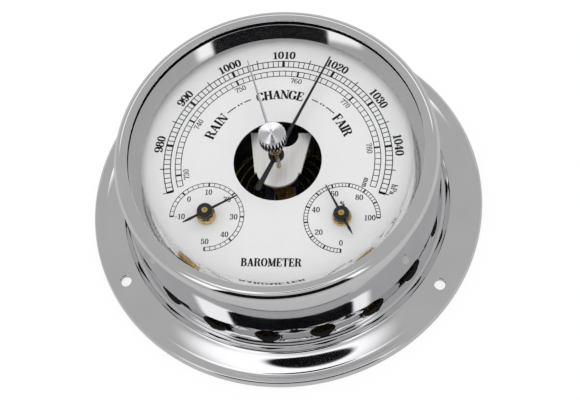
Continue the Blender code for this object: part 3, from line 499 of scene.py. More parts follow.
def cut_mounts(mesh, top_rows, low_rows):
    """Fill both sides of the flange and join them through the screw holes."""
    first_angle = VENT_PHASE - 180.0 / VENT_COUNT
    mounts = {round((angle - first_angle) / COLUMN - BAND_COLUMNS / 2): angle for angle in MOUNT_HOLE_ANGLES}
    outside, ridge, _, foot, heel = cup_profile()
    centre = (MOUNT_HOLE_CIRCLE, MOUNT_HOLE_HEIGHT)
    wide = MOUNT_HOLE_RADIUS + HOLE_CHAMFER
    share = MOUNT_HOLE_RADIUS / wide
    on_top, on_bottom = on_flange(outside[-1], ridge[0]), on_flange(heel[0], foot[-1])
    top_loops = band(mesh, *top_rows, mounts, centre, False, on_top, wide)
    low_loops = band(mesh, *low_rows, mounts, centre, False, on_bottom, MOUNT_HOLE_RADIUS)
    for first, angle in mounts.items():
        axis = Vector(polar(MOUNT_HOLE_CIRCLE, angle))
        step = []
        for corner in top_loops[first]:
            spot = axis + (corner.co.xy - axis) * share
            step.append(mesh.verts.new((spot.x, spot.y, corner.co.z - HOLE_CHAMFER)))
        bridge(mesh, top_loops[first], step)
        bridge(mesh, step, low_loops[first])


def build_case(chrome, dark):
    """The case as one closed piece: wall, flange, vents and screw holes, with its inside painted near black
    as painted shade.
    """
    mesh = bmesh.new()
    stretches = []
    for points in cup_profile():
        rows = [ring_of(mesh, radius, height) for radius, height in points]
        for near, far in zip(rows, rows[1:]):
            bridge(mesh, near, far)
        stretches.append(rows)
    outside, ridge, crest, foot, heel = stretches
    bridge(mesh, heel[-1], outside[0])
    cut_vents(mesh, (ridge[-1], crest[0]), (foot[0], crest[-1]))
    cut_mounts(mesh, (outside[-1], ridge[0]), (heel[0], foot[-1]))
    round_flange(mesh)
    flare_wall(mesh)
    # Faces inside the wall take the dark material: painted shade of the closed case.
    inside = half_width("case_wall") - PAINTED_SHADE_DEPTH
    for face in mesh.faces:
        spot = face.calc_center_median()
        face.material_index = 1 if spot.xy.length < inside and spot.z < high("case_wall") - 0.5 else 0
    store("case_body", mesh, (chrome, dark), ("mounting_flange", "case_wall"), smooth=40.0)


def bezel_profile():
    """The bezel's outline: a thin skirt, a rounded crown and a lip over the glass."""
    radius = half_width("bezel_ring")
    inner = radius - BEZEL_THICKNESS
    foot, top = low("bezel_skirt"), high("bezel_ring")
    lip = high("glass_pane") + 0.3
    crest, shoulder = radius - BEZEL_CROWN[0], top - BEZEL_CROWN[1]
    outline = [(inner, foot + 0.15), (inner + 0.12, foot), (radius - 0.05, foot), (radius, foot + 0.05)]
    outline += [(radius, foot + 8.0), (radius, shoulder - 3.0)]
    outline += arc((crest, shoulder), (radius - crest, top - shoulder), 0, 90, 28)
    outline += arc((BEZEL_MOUTH + 0.15, top - 0.15), (0.15, 0.15), 100, 180, 8)
    outline += [(BEZEL_MOUTH, lip + 0.1), (BEZEL_MOUTH + 0.1, lip)]
    outline += [(inner - 0.8, lip), (inner, lip - 0.9), (inner, foot + 8.0)]
    return outline


def build_bezel(chrome):
    """Crown and skirt as the one spun piece that they really are."""
    nodes = ("bezel_ring", "bezel_skirt")
    store("bezel", turned(bezel_profile()), (chrome,), nodes, smooth=40.0)


def build_glass(glass):
    """The flat pane with the hole for the knob's stem."""
    profile = tube(GLASS_HOLE_RADIUS, half_width("glass_pane"), low("glass_pane"), high("glass_pane"))
    keep_turned("glass_disc", profile, 0.12, glass, "glass_pane", FINE)


def build_gasket(rubber):
    """The rubber ring under the glass."""
    outer = half_width("glass_gasket")
    profile = tube(outer - GASKET_WIDTH, outer, low("glass_gasket"), high("glass_gasket"))
    keep_turned("gasket", profile, 0.3, rubber, "glass_gasket", FINE)


def build_reflector(chrome):
    """The polished cone that leads from the glass down to the dial."""
    outer, bottom, top = half_width("reflector_ring"), low("reflector_ring"), high("reflector_ring")
    inner, under = outer - REFLECTOR_THICKNESS, top - REFLECTOR_THICKNESS
    profile = [(REFLECTOR_MOUTH, REFLECTOR_LIP), (REFLECTOR_MOUTH + 0.25, REFLECTOR_LIP - 0.45)]
    profile += [(REFLECTOR_RIM + 0.2, under), (inner, under), (inner, bottom)]
    profile += [(outer, bottom), (outer, top), (REFLECTOR_RIM, top)]
    keep_turned("reflector", profile, 0.12, chrome, "reflector_ring", FINE)


def build_back(paint):
    """The back plate with a shallow groove and holes for its screws and the calibration screw."""
    radius, bottom, top = half_width("back_plate"), low("back_plate"), high("back_plate")
    inner, outer = BACK_GROOVE
    floor = bottom + BACK_GROOVE_DEPTH
    profile = [(0.0, bottom), (inner, bottom), (inner + 0.3, floor), (outer - 0.3, floor), (outer, bottom)]
    profile += [(radius, bottom), (radius, top), (0.0, top)]
    item = keep_turned("back_cover", profile, 0.15, paint, "back_plate", FINE)
    bores = {f"back_screw_{number}": 1.2 for number in (1, 2, 3)}
    bores["calibration_screw"] = 2.4
    holes = [moved(turned(tube(0.0, bore, -1.0, 4.0), ROUND), middle(node)) for node, bore in bores.items()]
    carve(item, joined(*holes))


# ---------------------------------------------------------------- dial

def build_dial(paint, dark):
    """The dial with its open centre and the holes of the two small instruments; its underside is painted
    dark as painted shade.
    """
    bottom, top = low("dial_plate"), DIAL_FACE
    mesh = turned(soften(tube(DIAL_WINDOW, half_width("dial_plate"), bottom, top), 0.1))
    item = store("dial", mesh, (paint, dark), ("dial_plate",))
    hole = tube(0.0, 1.9, bottom - 1, top + 1)
    holes = [moved(turned(hole, ROUND), centre) for centre in (THERMOMETER_CENTRE, HYGROMETER_CENTRE)]
    carve(item, joined(*holes))
    # Only the face stays white; the underside and the edges take the dark material as painted shade.
    for face in item.data.polygons:
        face.material_index = 0 if face.normal.z > 0.5 else 1


# ---------------------------------------------------------------- print: thin closed prisms on the dial

def lay_strip(ink, lefts, rights):
    """A thin closed strip between two lines of points."""
    base, top = DIAL_FACE - INK_SINK, DIAL_FACE + INK_HEIGHT
    rows = []
    for (left_x, left_y), (right_x, right_y) in zip(lefts, rights):
        rows.append((
            ink.verts.new((left_x, left_y, base)), ink.verts.new((right_x, right_y, base)),
            ink.verts.new((right_x, right_y, top)), ink.verts.new((left_x, left_y, top))))
    for near, far in zip(rows, rows[1:]):
        for side in range(4):
            following = (side + 1) % 4
            ink.faces.new((near[side], near[following], far[following], far[side]))
    ink.faces.new(rows[0])
    ink.faces.new(rows[-1][::-1])


def lay_polygon(ink, points):
    """A thin prism over a convex outline."""
    base, top = DIAL_FACE - INK_SINK, DIAL_FACE + INK_HEIGHT
    lower = [ink.verts.new((x, y, base)) for x, y in points]
    upper = [ink.verts.new((x, y, top)) for x, y in points]
    ink.faces.new(lower[::-1])
    ink.faces.new(upper)
    for index in range(len(points)):
        following = (index + 1) % len(points)
        ink.faces.new((lower[index], lower[following], upper[following], upper[index]))


def around(centre, radius, angle):
    """A point on a circle round a centre."""
    x, y = polar(radius, angle)
    return (centre[0] + x, centre[1] + y)


def lay_arc(ink, centre, radius, width, first, last):
    """A line along part of a circle."""
    steps = max(2, round(abs(last - first) * math.radians(1.0) * radius / 0.8))
    angles = [first + (last - first) * step / steps for step in range(steps + 1)]
    lay_strip(
        ink, [around(centre, radius - width / 2.0, angle) for angle in angles],
        [around(centre, radius + width / 2.0, angle) for angle in angles])


def lay_tick(ink, centre, inner, outer, width, angle):
    """A straight mark across a scale's band."""
    start, end = Vector(around(centre, inner, angle)), Vector(around(centre, outer, angle))
    aside = Vector(polar(width / 2.0, angle + 90.0))
    lay_polygon(ink, [start - aside, end - aside, end + aside, start + aside])


class Pen:
    """Draws upright roman letters from strokes that thin out where they run level."""

    def __init__(self, ink, weight, hairline, wide, place):
        self.ink = ink
        self.weight = weight
        self.hairline = hairline
        self.wide = wide
        self.place = place

    def point(self, x, y):
        """A point of the letter on the dial."""
        return self.place(x * self.wide, y)

    def curve(self, points, closed=False):
        """A stroke through the points, smoothed, and thick only where it runs up or down."""
        spots = [Vector((x * self.wide, y)) for x, y in points]
        if closed:
            line = [spots[index % len(spots)] for index in range(len(spots) + 1)]
        else:
            line = smooth_line(spots)
        lefts, rights = [], []
        for index, spot in enumerate(line):
            if closed:
                way = line[(index + 1) % (len(line) - 1)] - line[index - 1 if index else -2]
            else:
                way = line[min(index + 1, len(line) - 1)] - line[max(index - 1, 0)]
            way.normalize()
            half = (self.hairline + (self.weight - self.hairline) * abs(way.y) ** 1.6) / 2.0
            aside = Vector((-way.y, way.x)) * half
            lefts.append(self.place(*(spot + aside)))
            rights.append(self.place(*(spot - aside)))
        lay_strip(self.ink, lefts, rights)

    def ring(self, centre, radii):
        """A closed oval stroke."""
        self.curve(arc(centre, radii, 0.0, 360.0, 28)[:-1], closed=True)

    def stem(self, x, bottom=0.0, top=1.0, thin=False):
        """An upright stroke."""
        half = (self.hairline * 1.3 if thin else self.weight) / 2.0
        x *= self.wide
        corners = [(x - half, bottom), (x + half, bottom), (x + half, top), (x - half, top)]
        lay_polygon(self.ink, [self.place(*corner) for corner in corners])

    def slant(self, start, end, thin=False):
        """A straight stroke with level ends."""
        half = (self.hairline * 1.5 if thin else self.weight * 1.05) / 2.0
        (x0, y0), (x1, y1) = start, end
        x0, x1 = x0 * self.wide, x1 * self.wide
        corners = [(x0 - half, y0), (x0 + half, y0), (x1 + half, y1), (x1 - half, y1)]
        lay_polygon(self.ink, [self.place(*corner) for corner in corners])

    def bar(self, left, right, y, height=None):
        """A level stroke."""
        half = (height or self.hairline * 1.4) / 2.0
        corners = [(left, y - half), (right, y - half), (right, y + half), (left, y + half)]
        lay_polygon(self.ink, [self.point(*corner) for corner in corners])

    def serif(self, x, y):
        """A short level foot or head on a stem."""
        self.bar(x - SERIF, x + SERIF, y + (0.02 if y < 0.5 else -0.02))

    def ball(self, x, y):
        """The round end of a curve."""
        radius = self.weight * 0.56
        x *= self.wide
        lay_polygon(self.ink, [self.place(*spot) for spot in arc((x, y), (radius, radius), 0, 360, 14)[:-1]])

    def draw(self, character):
        """One character, stroke by stroke."""
        for stroke, *values in GLYPHS[character][1]:
            getattr(self, stroke)(*values)


def smooth_line(points, steps=7):
    """A Catmull-Rom curve through the points."""
    padded = [points[0] * 2.0 - points[1]] + points + [points[-1] * 2.0 - points[-2]]
    line = []
    for before, start, end, after in zip(padded, padded[1:], padded[2:], padded[3:]):
        for step in range(steps):
            t = step / steps
            line.append(0.5 * (
                2.0 * start + (end - before) * t + (2.0 * before - 5.0 * start + 4.0 * end - after) * t ** 2
                + (3.0 * start - before - 3.0 * end + after) * t ** 3))
    line.append(points[-1])
    return line


SERIF = 0.14

SIX_CURVE = ((.42, .90), (.30, .985), (.17, .90), (.08, .70), (.06, .45), (.08, .25))
C_CURVE = ((.60, .72), (.54, .90), (.38, .985), (.21, .92), (.11, .72), (.09, .5), (.11, .28), (.21, .08),
    (.38, .015), (.53, .09), (.62, .28))

# Each character's width and strokes, in shares of the height of a capital
GLYPHS = {
    " ": (.35, ()),
    "0": (.56, (("ring", (.28, .5), (.185, .48)),)),
    "1": (.50, (("stem", .27, 0, .97), ("slant", (.08, .80), (.25, .95), True), ("bar", .10, .44, .02))),
    "2": (.54, (
        ("ball", .13, .76),
        ("curve", ((.07, .78), (.13, .92), (.27, .985), (.40, .90), (.43, .74), (.37, .58), (.24, .38),
        (.12, .18), (.06, .06))),
        ("bar", .05, .47, .06, .12), ("stem", .475, .05, .25, True))),
    "3": (.54, (
        ("ball", .12, .78),
        ("curve", ((.07, .82), (.15, .95), (.27, .985), (.38, .90), (.41, .76), (.35, .61), (.22, .535))),
        ("curve", ((.22, .535), (.37, .47), (.44, .28), (.39, .09), (.26, .015), (.13, .05), (.07, .18))),
        ("ball", .12, .21))),
    "4": (.56, (("slant", (.03, .28), (.34, .96), True), ("bar", .02, .53, .27), ("stem", .37, 0, .98),
        ("bar", .23, .51, .02))),
    "5": (.54, (
        ("bar", .08, .44, .94, .12), ("stem", .085, .52, .96, True),
        ("curve", ((.085, .52), (.17, .62), (.29, .635), (.41, .52), (.44, .33), (.39, .12), (.26, .015),
        (.13, .05), (.07, .17))),
        ("ball", .12, .20))),
    "6": (.56, (("ring", (.285, .30), (.19, .285)), ("curve", SIX_CURVE), ("ball", .40, .86))),
    "7": (.52, (("bar", .05, .48, .94, .12), ("stem", .055, .74, .96, True),
        ("curve", ((.47, .93), (.34, .62), (.26, .32), (.24, .0))))),
    "8": (.56, (("ring", (.28, .76), (.15, .225)), ("ring", (.28, .28), (.19, .265)))),
    "9": (.56, (
        ("ring", (.275, .70), (.19, .285)),
        ("curve", tuple((.56 - x, 1.0 - y) for x, y in SIX_CURVE)), ("ball", .16, .14))),
    "-": (.44, (("bar", .04, .36, .42, .09),)),
    "R": (.80, (
        ("stem", .17), ("serif", .17, 0.0), ("bar", .03, .20, .98),
        ("curve", ((.17, .98), (.40, .975), (.56, .87), (.58, .74), (.52, .60), (.38, .52), (.17, .515))),
        ("curve", ((.36, .52), (.50, .44), (.56, .28), (.58, .10), (.66, .02), (.74, .10))))),
    "A": (.80, (("slant", (.14, .0), (.37, .97), True), ("slant", (.62, .0), (.39, .97)),
        ("bar", .22, .54, .32), ("serif", .14, 0.0), ("serif", .62, 0.0))),
    "I": (.38, (("stem", .19), ("serif", .19, 0.0), ("serif", .19, 1.0))),
    "N": (.82, (
        ("stem", .14, 0, .98, True), ("stem", .68, 0, .98, True), ("slant", (.64, .0), (.16, .98)),
        ("serif", .14, 0.0),
        ("bar", .0, .18, .98), ("serif", .68, 1.0))),
    "C": (.72, (("curve", C_CURVE), ("stem", .60, .70, .98, True))),
    "H": (.84, (
        ("stem", .18), ("stem", .64), ("bar", .18, .64, .51), ("serif", .18, 0.0), ("serif", .18, 1.0),
        ("serif", .64, 0.0),
        ("serif", .64, 1.0))),
    "G": (.78, (("curve", C_CURVE), ("stem", .60, .70, .98, True), ("stem", .60, .04, .40),
        ("bar", .46, .74, .41))),
    "E": (.70, (
        ("stem", .17), ("bar", .03, .56, .98), ("bar", .03, .60, .02), ("bar", .17, .42, .51),
        ("stem", .56, .72, .98, True),
        ("stem", .60, .02, .30, True), ("stem", .42, .38, .64, True))),
    "F": (.66, (
        ("stem", .17), ("bar", .03, .56, .98), ("serif", .17, 0.0), ("bar", .17, .42, .51),
        ("stem", .56, .72, .98, True),
        ("stem", .42, .38, .64, True))),
    "B": (.72, (
        ("stem", .17), ("bar", .03, .20, .98), ("bar", .03, .20, .02),
        ("curve", ((.17, .98), (.38, .975), (.50, .87), (.52, .76), (.47, .63), (.36, .545), (.17, .535))),
        ("curve", ((.17, .535), (.40, .53), (.56, .42), (.59, .27), (.54, .12), (.40, .025), (.17, .02))))),
    "O": (.80, (("ring", (.39, .5), (.27, .48)),)),
    "M": (.98, (
        ("stem", .14, 0, .98, True), ("stem", .78, 0, .98), ("slant", (.44, .04), (.18, .98)),
        ("slant", (.46, .04), (.76, .98), True),
        ("serif", .14, 0.0), ("serif", .78, 0.0), ("bar", .0, .20, .98), ("bar", .72, .92, .98))),
    "T": (.74, (
        ("stem", .35), ("bar", .04, .66, .98), ("stem", .045, .72, .98, True),
        ("stem", .655, .72, .98, True), ("serif", .35, 0.0))),
    "h": (.58, (
        ("stem", .13), ("curve", ((.13, .50), (.24, .62), (.36, .60), (.42, .46), (.42, .0))),
        ("bar", .02, .24, .02),
        ("bar", .32, .54, .02), ("bar", .03, .15, .98))),
    "P": (.68, (
        ("stem", .17), ("serif", .17, 0.0), ("bar", .03, .20, .98),
        ("curve", ((.17, .98), (.40, .975), (.55, .87), (.57, .73), (.52, .58), (.38, .49), (.17, .485))))),
    "a": (.52, (
        ("ball", .13, .50), ("curve", ((.09, .52), (.18, .63), (.30, .62), (.38, .48), (.38, .12),
        (.43, .02), (.50, .06))),
        ("curve", ((.37, .38), (.20, .33), (.10, .18), (.16, .04), (.27, .04), (.37, .14))))),
    "m": (.86, (
        ("stem", .13, 0, .64), ("curve", ((.13, .48), (.23, .62), (.34, .60), (.40, .46), (.40, .0))),
        ("curve", ((.40, .48), (.50, .62), (.61, .60), (.67, .46), (.67, .0))), ("bar", .02, .24, .02),
        ("bar", .30, .50, .02),
        ("bar", .57, .79, .02))),
    "%": (.90, (
        ("ring", (.19, .74), (.10, .22)), ("ring", (.65, .24), (.10, .22)),
        ("slant", (.18, .0), (.66, .98), True))),
}


def text_width(text, wide):
    """A text's width, in shares of its height."""
    return sum(GLYPHS[character][0] for character in text) * wide


def write_flat(ink, text, centre, height, weight=0.13, hairline=0.045, wide=1.2, turn=0.0):
    """A straight word or number, centred on a place and turned about it."""
    width = text_width(text, wide)
    across, upward = Vector(polar(height, turn)), Vector(polar(height, turn + 90.0))
    left = -width / 2.0
    for character in text:
        def place(x, y, left=left):
            return tuple(Vector(centre) + across * (left + x) + upward * (y - 0.5))
        Pen(ink, weight, hairline, wide, place).draw(character)
        left += GLYPHS[character][0] * wide


def write_round(ink, text, radius, angle, height, weight=0.20, hairline=0.045, wide=1.25, gap=0.0):
    """A word along the dial's circle, read from its middle, each letter turned to the circle."""
    total = text_width(text, wide) * height + gap * (len(text) - 1)
    along = -total / 2.0
    for character in text:
        width = GLYPHS[character][0] * wide * height
        letter_angle = angle - math.degrees((along + width / 2.0) / radius)
        spot = Vector(polar(radius, letter_angle))
        write_flat(ink, character, spot, height, weight, hairline, wide, letter_angle - 90.0)
        along += width + gap


def spread_word(ink, text, radius, first, last, height):
    """A word whose outer letters end at two azimuths."""
    wide = 1.12
    span = math.radians(first - last) * radius
    gap = (span - text_width(text, wide) * height) / (len(text) - 1)
    write_round(ink, text, radius, (first + last) / 2.0, height, 0.25, 0.07, wide, gap)


def pressure_angle(hectopascals):
    """The azimuth of a pressure on the dial."""
    return 90.0 - DEGREES_PER_HECTOPASCAL * (hectopascals - PRESSURE_MIDDLE)


def print_pressure_scale(ink):
    """Two bands: hectopascals outside, millimetres of mercury inside."""
    middle_point = (0.0, 0.0)
    inner, outer = HECTOPASCAL_BAND
    ends = (pressure_angle(PRESSURE_LOW), pressure_angle(PRESSURE_HIGH))
    for radius in (inner, outer):
        lay_arc(ink, middle_point, radius, 0.28, *ends)
    for value in range(PRESSURE_LOW, PRESSURE_HIGH + 1):
        width = 0.8 if value % 10 == 0 else 0.25
        lay_tick(ink, middle_point, inner, outer, width, pressure_angle(value))
        if value % 5 == 0 and value % 10 != 0:
            lay_tick(ink, middle_point, inner, outer + 1.2, 0.28, pressure_angle(value))
    for end in ends:
        lay_tick(ink, middle_point, inner, outer + 1.2, 0.28, end)
    for value in range(PRESSURE_LOW + 10, PRESSURE_HIGH, 10):
        write_round(ink, str(value), 37.5, pressure_angle(value), 2.55, 0.25, 0.08, 1.36)
    inner, outer = MERCURY_BAND
    last_values = (MERCURY_VALUES[0], MERCURY_VALUES[-1])
    ends = [pressure_angle(value * HECTOPASCALS_PER_MILLIMETRE) for value in last_values]
    for radius in (inner, outer):
        lay_arc(ink, middle_point, radius, 0.24, *ends)
    for value in MERCURY_VALUES:
        angle = pressure_angle(value * HECTOPASCALS_PER_MILLIMETRE)
        lay_tick(ink, middle_point, inner, outer, 0.6 if value % 10 == 0 else 0.22, angle)
        if value % 10 == 0:
            write_round(ink, str(value), 28.4, angle, 1.7, 0.16, 0.08, 1.3)
    unit_angle = pressure_angle(PRESSURE_HIGH)
    write_round(ink, "hPa", 37.2, unit_angle + 3.4, 1.8, 0.17, 0.08, 1.1)
    write_round(ink, "mm", 28.4, unit_angle + 3.4, 1.8, 0.17, 0.08, 1.1)


def print_weather_words(ink):
    """The three words, with dashes and dots between them."""
    for word, first, last in WORDS:
        spread_word(ink, word, WORD_RADIUS, first, last, WORD_HEIGHT)
    for first, last in DASHES:
        lay_arc(ink, (0.0, 0.0), DASH_RADIUS, 0.34, first, last)
    for angle in DOTS:
        lay_polygon(ink, arc(polar(DASH_RADIUS, angle), (0.31, 0.31), 0, 360, 14)[:-1])


def print_title(ink):
    """The plain title over six o'clock."""
    write_flat(ink, "BAROMETER", TITLE_PLACE, 2.6, 0.23, 0.07, 1.0)


def print_small_scale(ink, centre, band, angle_of, values, label_step):
    """One band with its ticks; every labelled tick is thicker."""
    inner, outer = band
    ends = (angle_of(values[0]), angle_of(values[-1]))
    for radius in band:
        lay_arc(ink, centre, radius, 0.2, *ends)
    for value in values:
        wide_tick = value % label_step == 0
        lay_tick(ink, centre, inner, outer, 0.5 if wide_tick else 0.17, angle_of(value))


def print_thermometer(ink):
    """Degrees Celsius from -10 to 50."""
    def angle_of(value):
        return 180.0 - 4.5 * (value + 10.0)
    centre = THERMOMETER_CENTRE
    print_small_scale(ink, centre, THERMOMETER_BAND, angle_of, range(-10, 51, 2), 10)
    for value in range(-10, 51, 10):
        write_flat(ink, str(value), around(centre, 8.3, angle_of(value)), 1.75, 0.18, 0.08, 1.25)


def print_hygrometer(ink):
    """Per cent from 0 to 100."""
    def angle_of(value):
        return 270.0 - 2.7 * value
    centre = HYGROMETER_CENTRE
    print_small_scale(ink, centre, HYGROMETER_BAND, angle_of, range(0, 101, 2), 10)
    for value in range(0, 101, 20):
        write_flat(ink, str(value), around(centre, 8.4, angle_of(value)), 1.75, 0.18, 0.08, 1.25)
    write_flat(ink, "%", (centre[0], centre[1] + 4.6), 1.7, 0.17, 0.08, 1.0)


def build_print(ink_material):
    """All the printing, in one piece per scale or group of words."""
    jobs = {
        "pressure_print": print_pressure_scale, "weather_print": print_weather_words,
            "title_print": print_title,
        "thermometer_print": print_thermometer, "hygrometer_print": print_hygrometer}
    for name, job in jobs.items():
        mesh = bmesh.new()
        job(mesh)
        keep_print(name, mesh, ink_material)


def keep_print(name, mesh, ink_material):
    """Keep a printed mesh in millimetres as a piece on the dial."""
    bmesh.ops.recalc_face_normals(mesh, faces=mesh.faces)
    bmesh.ops.scale(mesh, vec=(MM, MM, MM), verts=mesh.verts)
    data = bpy.data.meshes.new(name)
    mesh.to_mesh(data)
    mesh.free()
    item = bpy.data.objects.new(name, data)
    bpy.context.scene.collection.objects.link(item)
    data.materials.append(ink_material)
    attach(item, "case")


# ---------------------------------------------------------------- hands, knob and stem

def hand_outline(tip, root_width, tip_width, tail, tail_width):
    """A slim hand along +X: it tapers to its tip, and its tail widens to a round end."""
    point = tip + tip_width * 0.8
    outline = [(tip, -tip_width / 2), (point, -tip_width * 0.15), (point, tip_width * 0.15)]
    outline += [(tip, tip_width / 2), (0.0, root_width / 2)]
    outline += arc((-tail + tail_width / 2, 0.0), (tail_width / 2, tail_width / 2), 90, 270, 14)
    outline.append((0.0, -root_width / 2))
    return outline


def spear_outline(tip, root_width, tip_width, tail, tail_width):
    """A hand along +X that tapers to its tip; its tail swells a little and ends in a point."""
    outline = [(tip, -tip_width / 2), (tip, tip_width / 2), (0.0, root_width / 2)]
    outline += [(-tail * 0.45, root_width * 0.36), (-tail * 0.7, tail_width / 2), (-tail, 0.08)]
    outline += [(-tail, -0.08), (-tail * 0.7, -tail_width / 2), (-tail * 0.45, -root_width * 0.36)]
    outline.append((0.0, -root_width / 2))
    return outline


def build_hand(node, body, centre, azimuth, outline, blade_bottom, hub, material):
    """A flat hand with a beveled blade and a turned hub, which is (radius, bottom, top, bore)."""
    blade = extruded(outline, blade_bottom, blade_bottom + BLADE_THICKNESS, 0.09)
    radius, bottom, top, bore = hub
    disc = turned(soften(tube(bore, radius, bottom, top), 0.28, 6), SMALL)
    mesh = moved(joined(blade, disc), centre, azimuth)
    return store(node + "_blade", mesh, (material,), (node,), body)


def build_arbor(node, body, centre, foot, fillet, brass):
    """A brass arbor: its foot as given, and a domed head with a small dimple."""
    top = high(node)
    rounded = ARBOR_HEAD - fillet
    profile = foot + [(ARBOR_HEAD, foot[-1][1]), (ARBOR_HEAD, top - fillet)]
    profile += arc((rounded, top - fillet), (fillet, fillet), 20, 90, 5)
    profile += [(0.42, top), (0.34, top - 0.06), (0.2, top - 0.2), (0.0, top - 0.24)]
    store(node + "_piece", moved(turned(profile, ROUND), centre), (brass,), (node,), body)


def build_instrument(name, centre, azimuth, black, brass):
    """A small instrument's bush in the dial, its hand, and the arbor that the hand sits on."""
    bush, arbor, hand = name + "_bush", name + "_arbor", name + "_hand"
    top, bottom = high(bush), low(bush)
    seat = DIAL_FACE + 0.3
    profile = [(0.55, bottom), (1.5, bottom), (1.5, seat), (2.9, seat)]
    profile += [(2.9, top - 0.35), (2.55, top), (0.55, top)]
    keep_turned(bush + "_piece", profile, 0.12, brass, bush, centre=centre)
    hub = (2.4, low(hand), high(hand), 1.05)
    outline = spear_outline(*SMALL_HAND)
    build_hand(hand, hand, centre, azimuth, outline, low(hand) + 0.6, hub, black)
    coil_top, seat = DIAL_FACE - 0.8 - 3.0, low(hand) - 0.1
    foot = [(0.0, low(arbor)), (1.2, low(arbor)), (1.2, coil_top), (0.45, coil_top), (0.45, seat)]
    build_arbor(arbor, hand, centre, foot, 0.2, brass)


def build_centre(black, brass):
    """The pressure hand and the arbor that it sits on."""
    node = "pressure_hand"
    hub = (2.45, low(node), high(node), 1.05)
    outline = hand_outline(*PRESSURE_HAND)
    build_hand(
        node, node, (0.0, 0.0), PRESSURE_AZIMUTH, outline, PRESSURE_BLADE_BOTTOM, hub, black)
    bottom = low("centre_arbor")
    foot = [(0.0, bottom), (CENTRE_ARBOR_SHAFT, bottom), (CENTRE_ARBOR_SHAFT, CENTRE_ARBOR_SEAT)]
    build_arbor("centre_arbor", node, (0.0, 0.0), foot, 0.22, brass)


def build_marker(silver):
    """The marker hand, which turns with the knob."""
    node, top = "marker_hand", high("marker_hand")
    outline = hand_outline(*MARKER_HAND)
    blade_bottom, hub = top - BLADE_THICKNESS, (1.2, low(node), top, 0.0)
    build_hand(
        node, "setting_knob", (0.0, 0.0), MARKER_AZIMUTH, outline, blade_bottom, hub, silver)


def build_knob(chrome):
    """A fluted knob with a shallow cone on top, turned in fine steps."""
    radius, bottom, top = half_width("setting_knob"), low("setting_knob"), high("setting_knob")
    count = KNOB_FLUTES * FLUTE_STEPS
    rim_top = top - 1.0
    levels = [(radius - inset, bottom + lift, depth) for inset, lift, depth in KNOB_FOOT]
    levels += [(radius - inset, rim_top + lift, depth) for inset, lift, depth in KNOB_EDGE]
    for share in KNOB_CONE_SHARES:
        levels.append((radius - 0.4 - share * (radius - 0.6), rim_top + 0.02 + share * 0.9, 0.0))
    levels.append((0.14, top, 0.0))
    mesh = bmesh.new()
    rings = []
    for reach, height, depth in levels:
        ring = []
        for step in range(count):
            wave = 0.5 - 0.5 * math.cos(2.0 * math.pi * step / FLUTE_STEPS)
            cut = FLUTE_DEPTH * depth * wave ** 1.5
            ring.append(mesh.verts.new((*polar(reach - cut, 360.0 * step / count), height)))
        rings.append(ring)
    for near, far in zip(rings, rings[1:]):
        bridge(mesh, near, far)
    mesh.faces.new(rings[0])
    mesh.faces.new(rings[-1])
    store("knob", mesh, (chrome,), ("setting_knob",), "setting_knob", smooth=50.0)


def build_stem(brass, steel):
    """The knob's stem with its collar, its bush in the glass, and the friction washer."""
    bottom, top = low("setting_stem"), high("setting_stem")
    collar = high("friction_washer") + 0.3
    profile = [(0.0, bottom), (0.7, bottom), (0.7, collar), (1.6, collar), (1.6, collar + 0.7)]
    profile += [(1.2, collar + 1.0), (0.9, collar + 1.3), (0.9, top), (0.0, top)]
    keep_turned("stem", profile, 0.12, steel, "setting_stem", body="setting_knob")
    bottom, top = low("stem_bush"), high("stem_bush")
    seat = top - 0.7
    profile = [(0.9, bottom), (1.4, bottom), (1.4, seat), (2.0, seat), (2.0, top), (0.9, top)]
    keep_turned("stem_ferrule", profile, 0.15, brass, "stem_bush")
    bottom, top = low("friction_washer"), high("friction_washer")
    profile = [(1.0, bottom), (1.8, bottom + 0.15), (1.8, top), (1.0, top - 0.15)]
    keep_turned("spring_washer", profile, 0.1, steel, "friction_washer")


# ---------------------------------------------------------------- movement

def build_capsule(lacquer):
    """A flat metal box with rounded rings pressed into it."""
    centre = middle("aneroid_capsule")
    radius, bottom, top = half_width("aneroid_capsule"), low("aneroid_capsule"), high("aneroid_capsule")
    halfway = (bottom + top) / 2.0
    first, last, waves, depth = 4.4, radius - 2.2, 5, 0.8
    upper = [(radius, halfway + 0.15), (radius - 0.1, halfway + 0.45), (radius - 0.6, halfway + 0.6)]
    upper.append((last + 0.6, top - depth))
    steps = waves * 10
    for step in range(steps, -1, -1):
        share = step / steps
        drop = depth * (0.5 - 0.5 * math.cos(2.0 * math.pi * waves * share))
        upper.append((first + (last - first) * share, top - drop))
    upper += [(3.2, top), (0.0, top)]
    lower = [(reach, 2.0 * halfway - height) for reach, height in reversed(upper)]
    mesh = moved(turned(lower + upper, SMALL * 2), centre)
    store("capsule", mesh, (lacquer,), ("aneroid_capsule",))


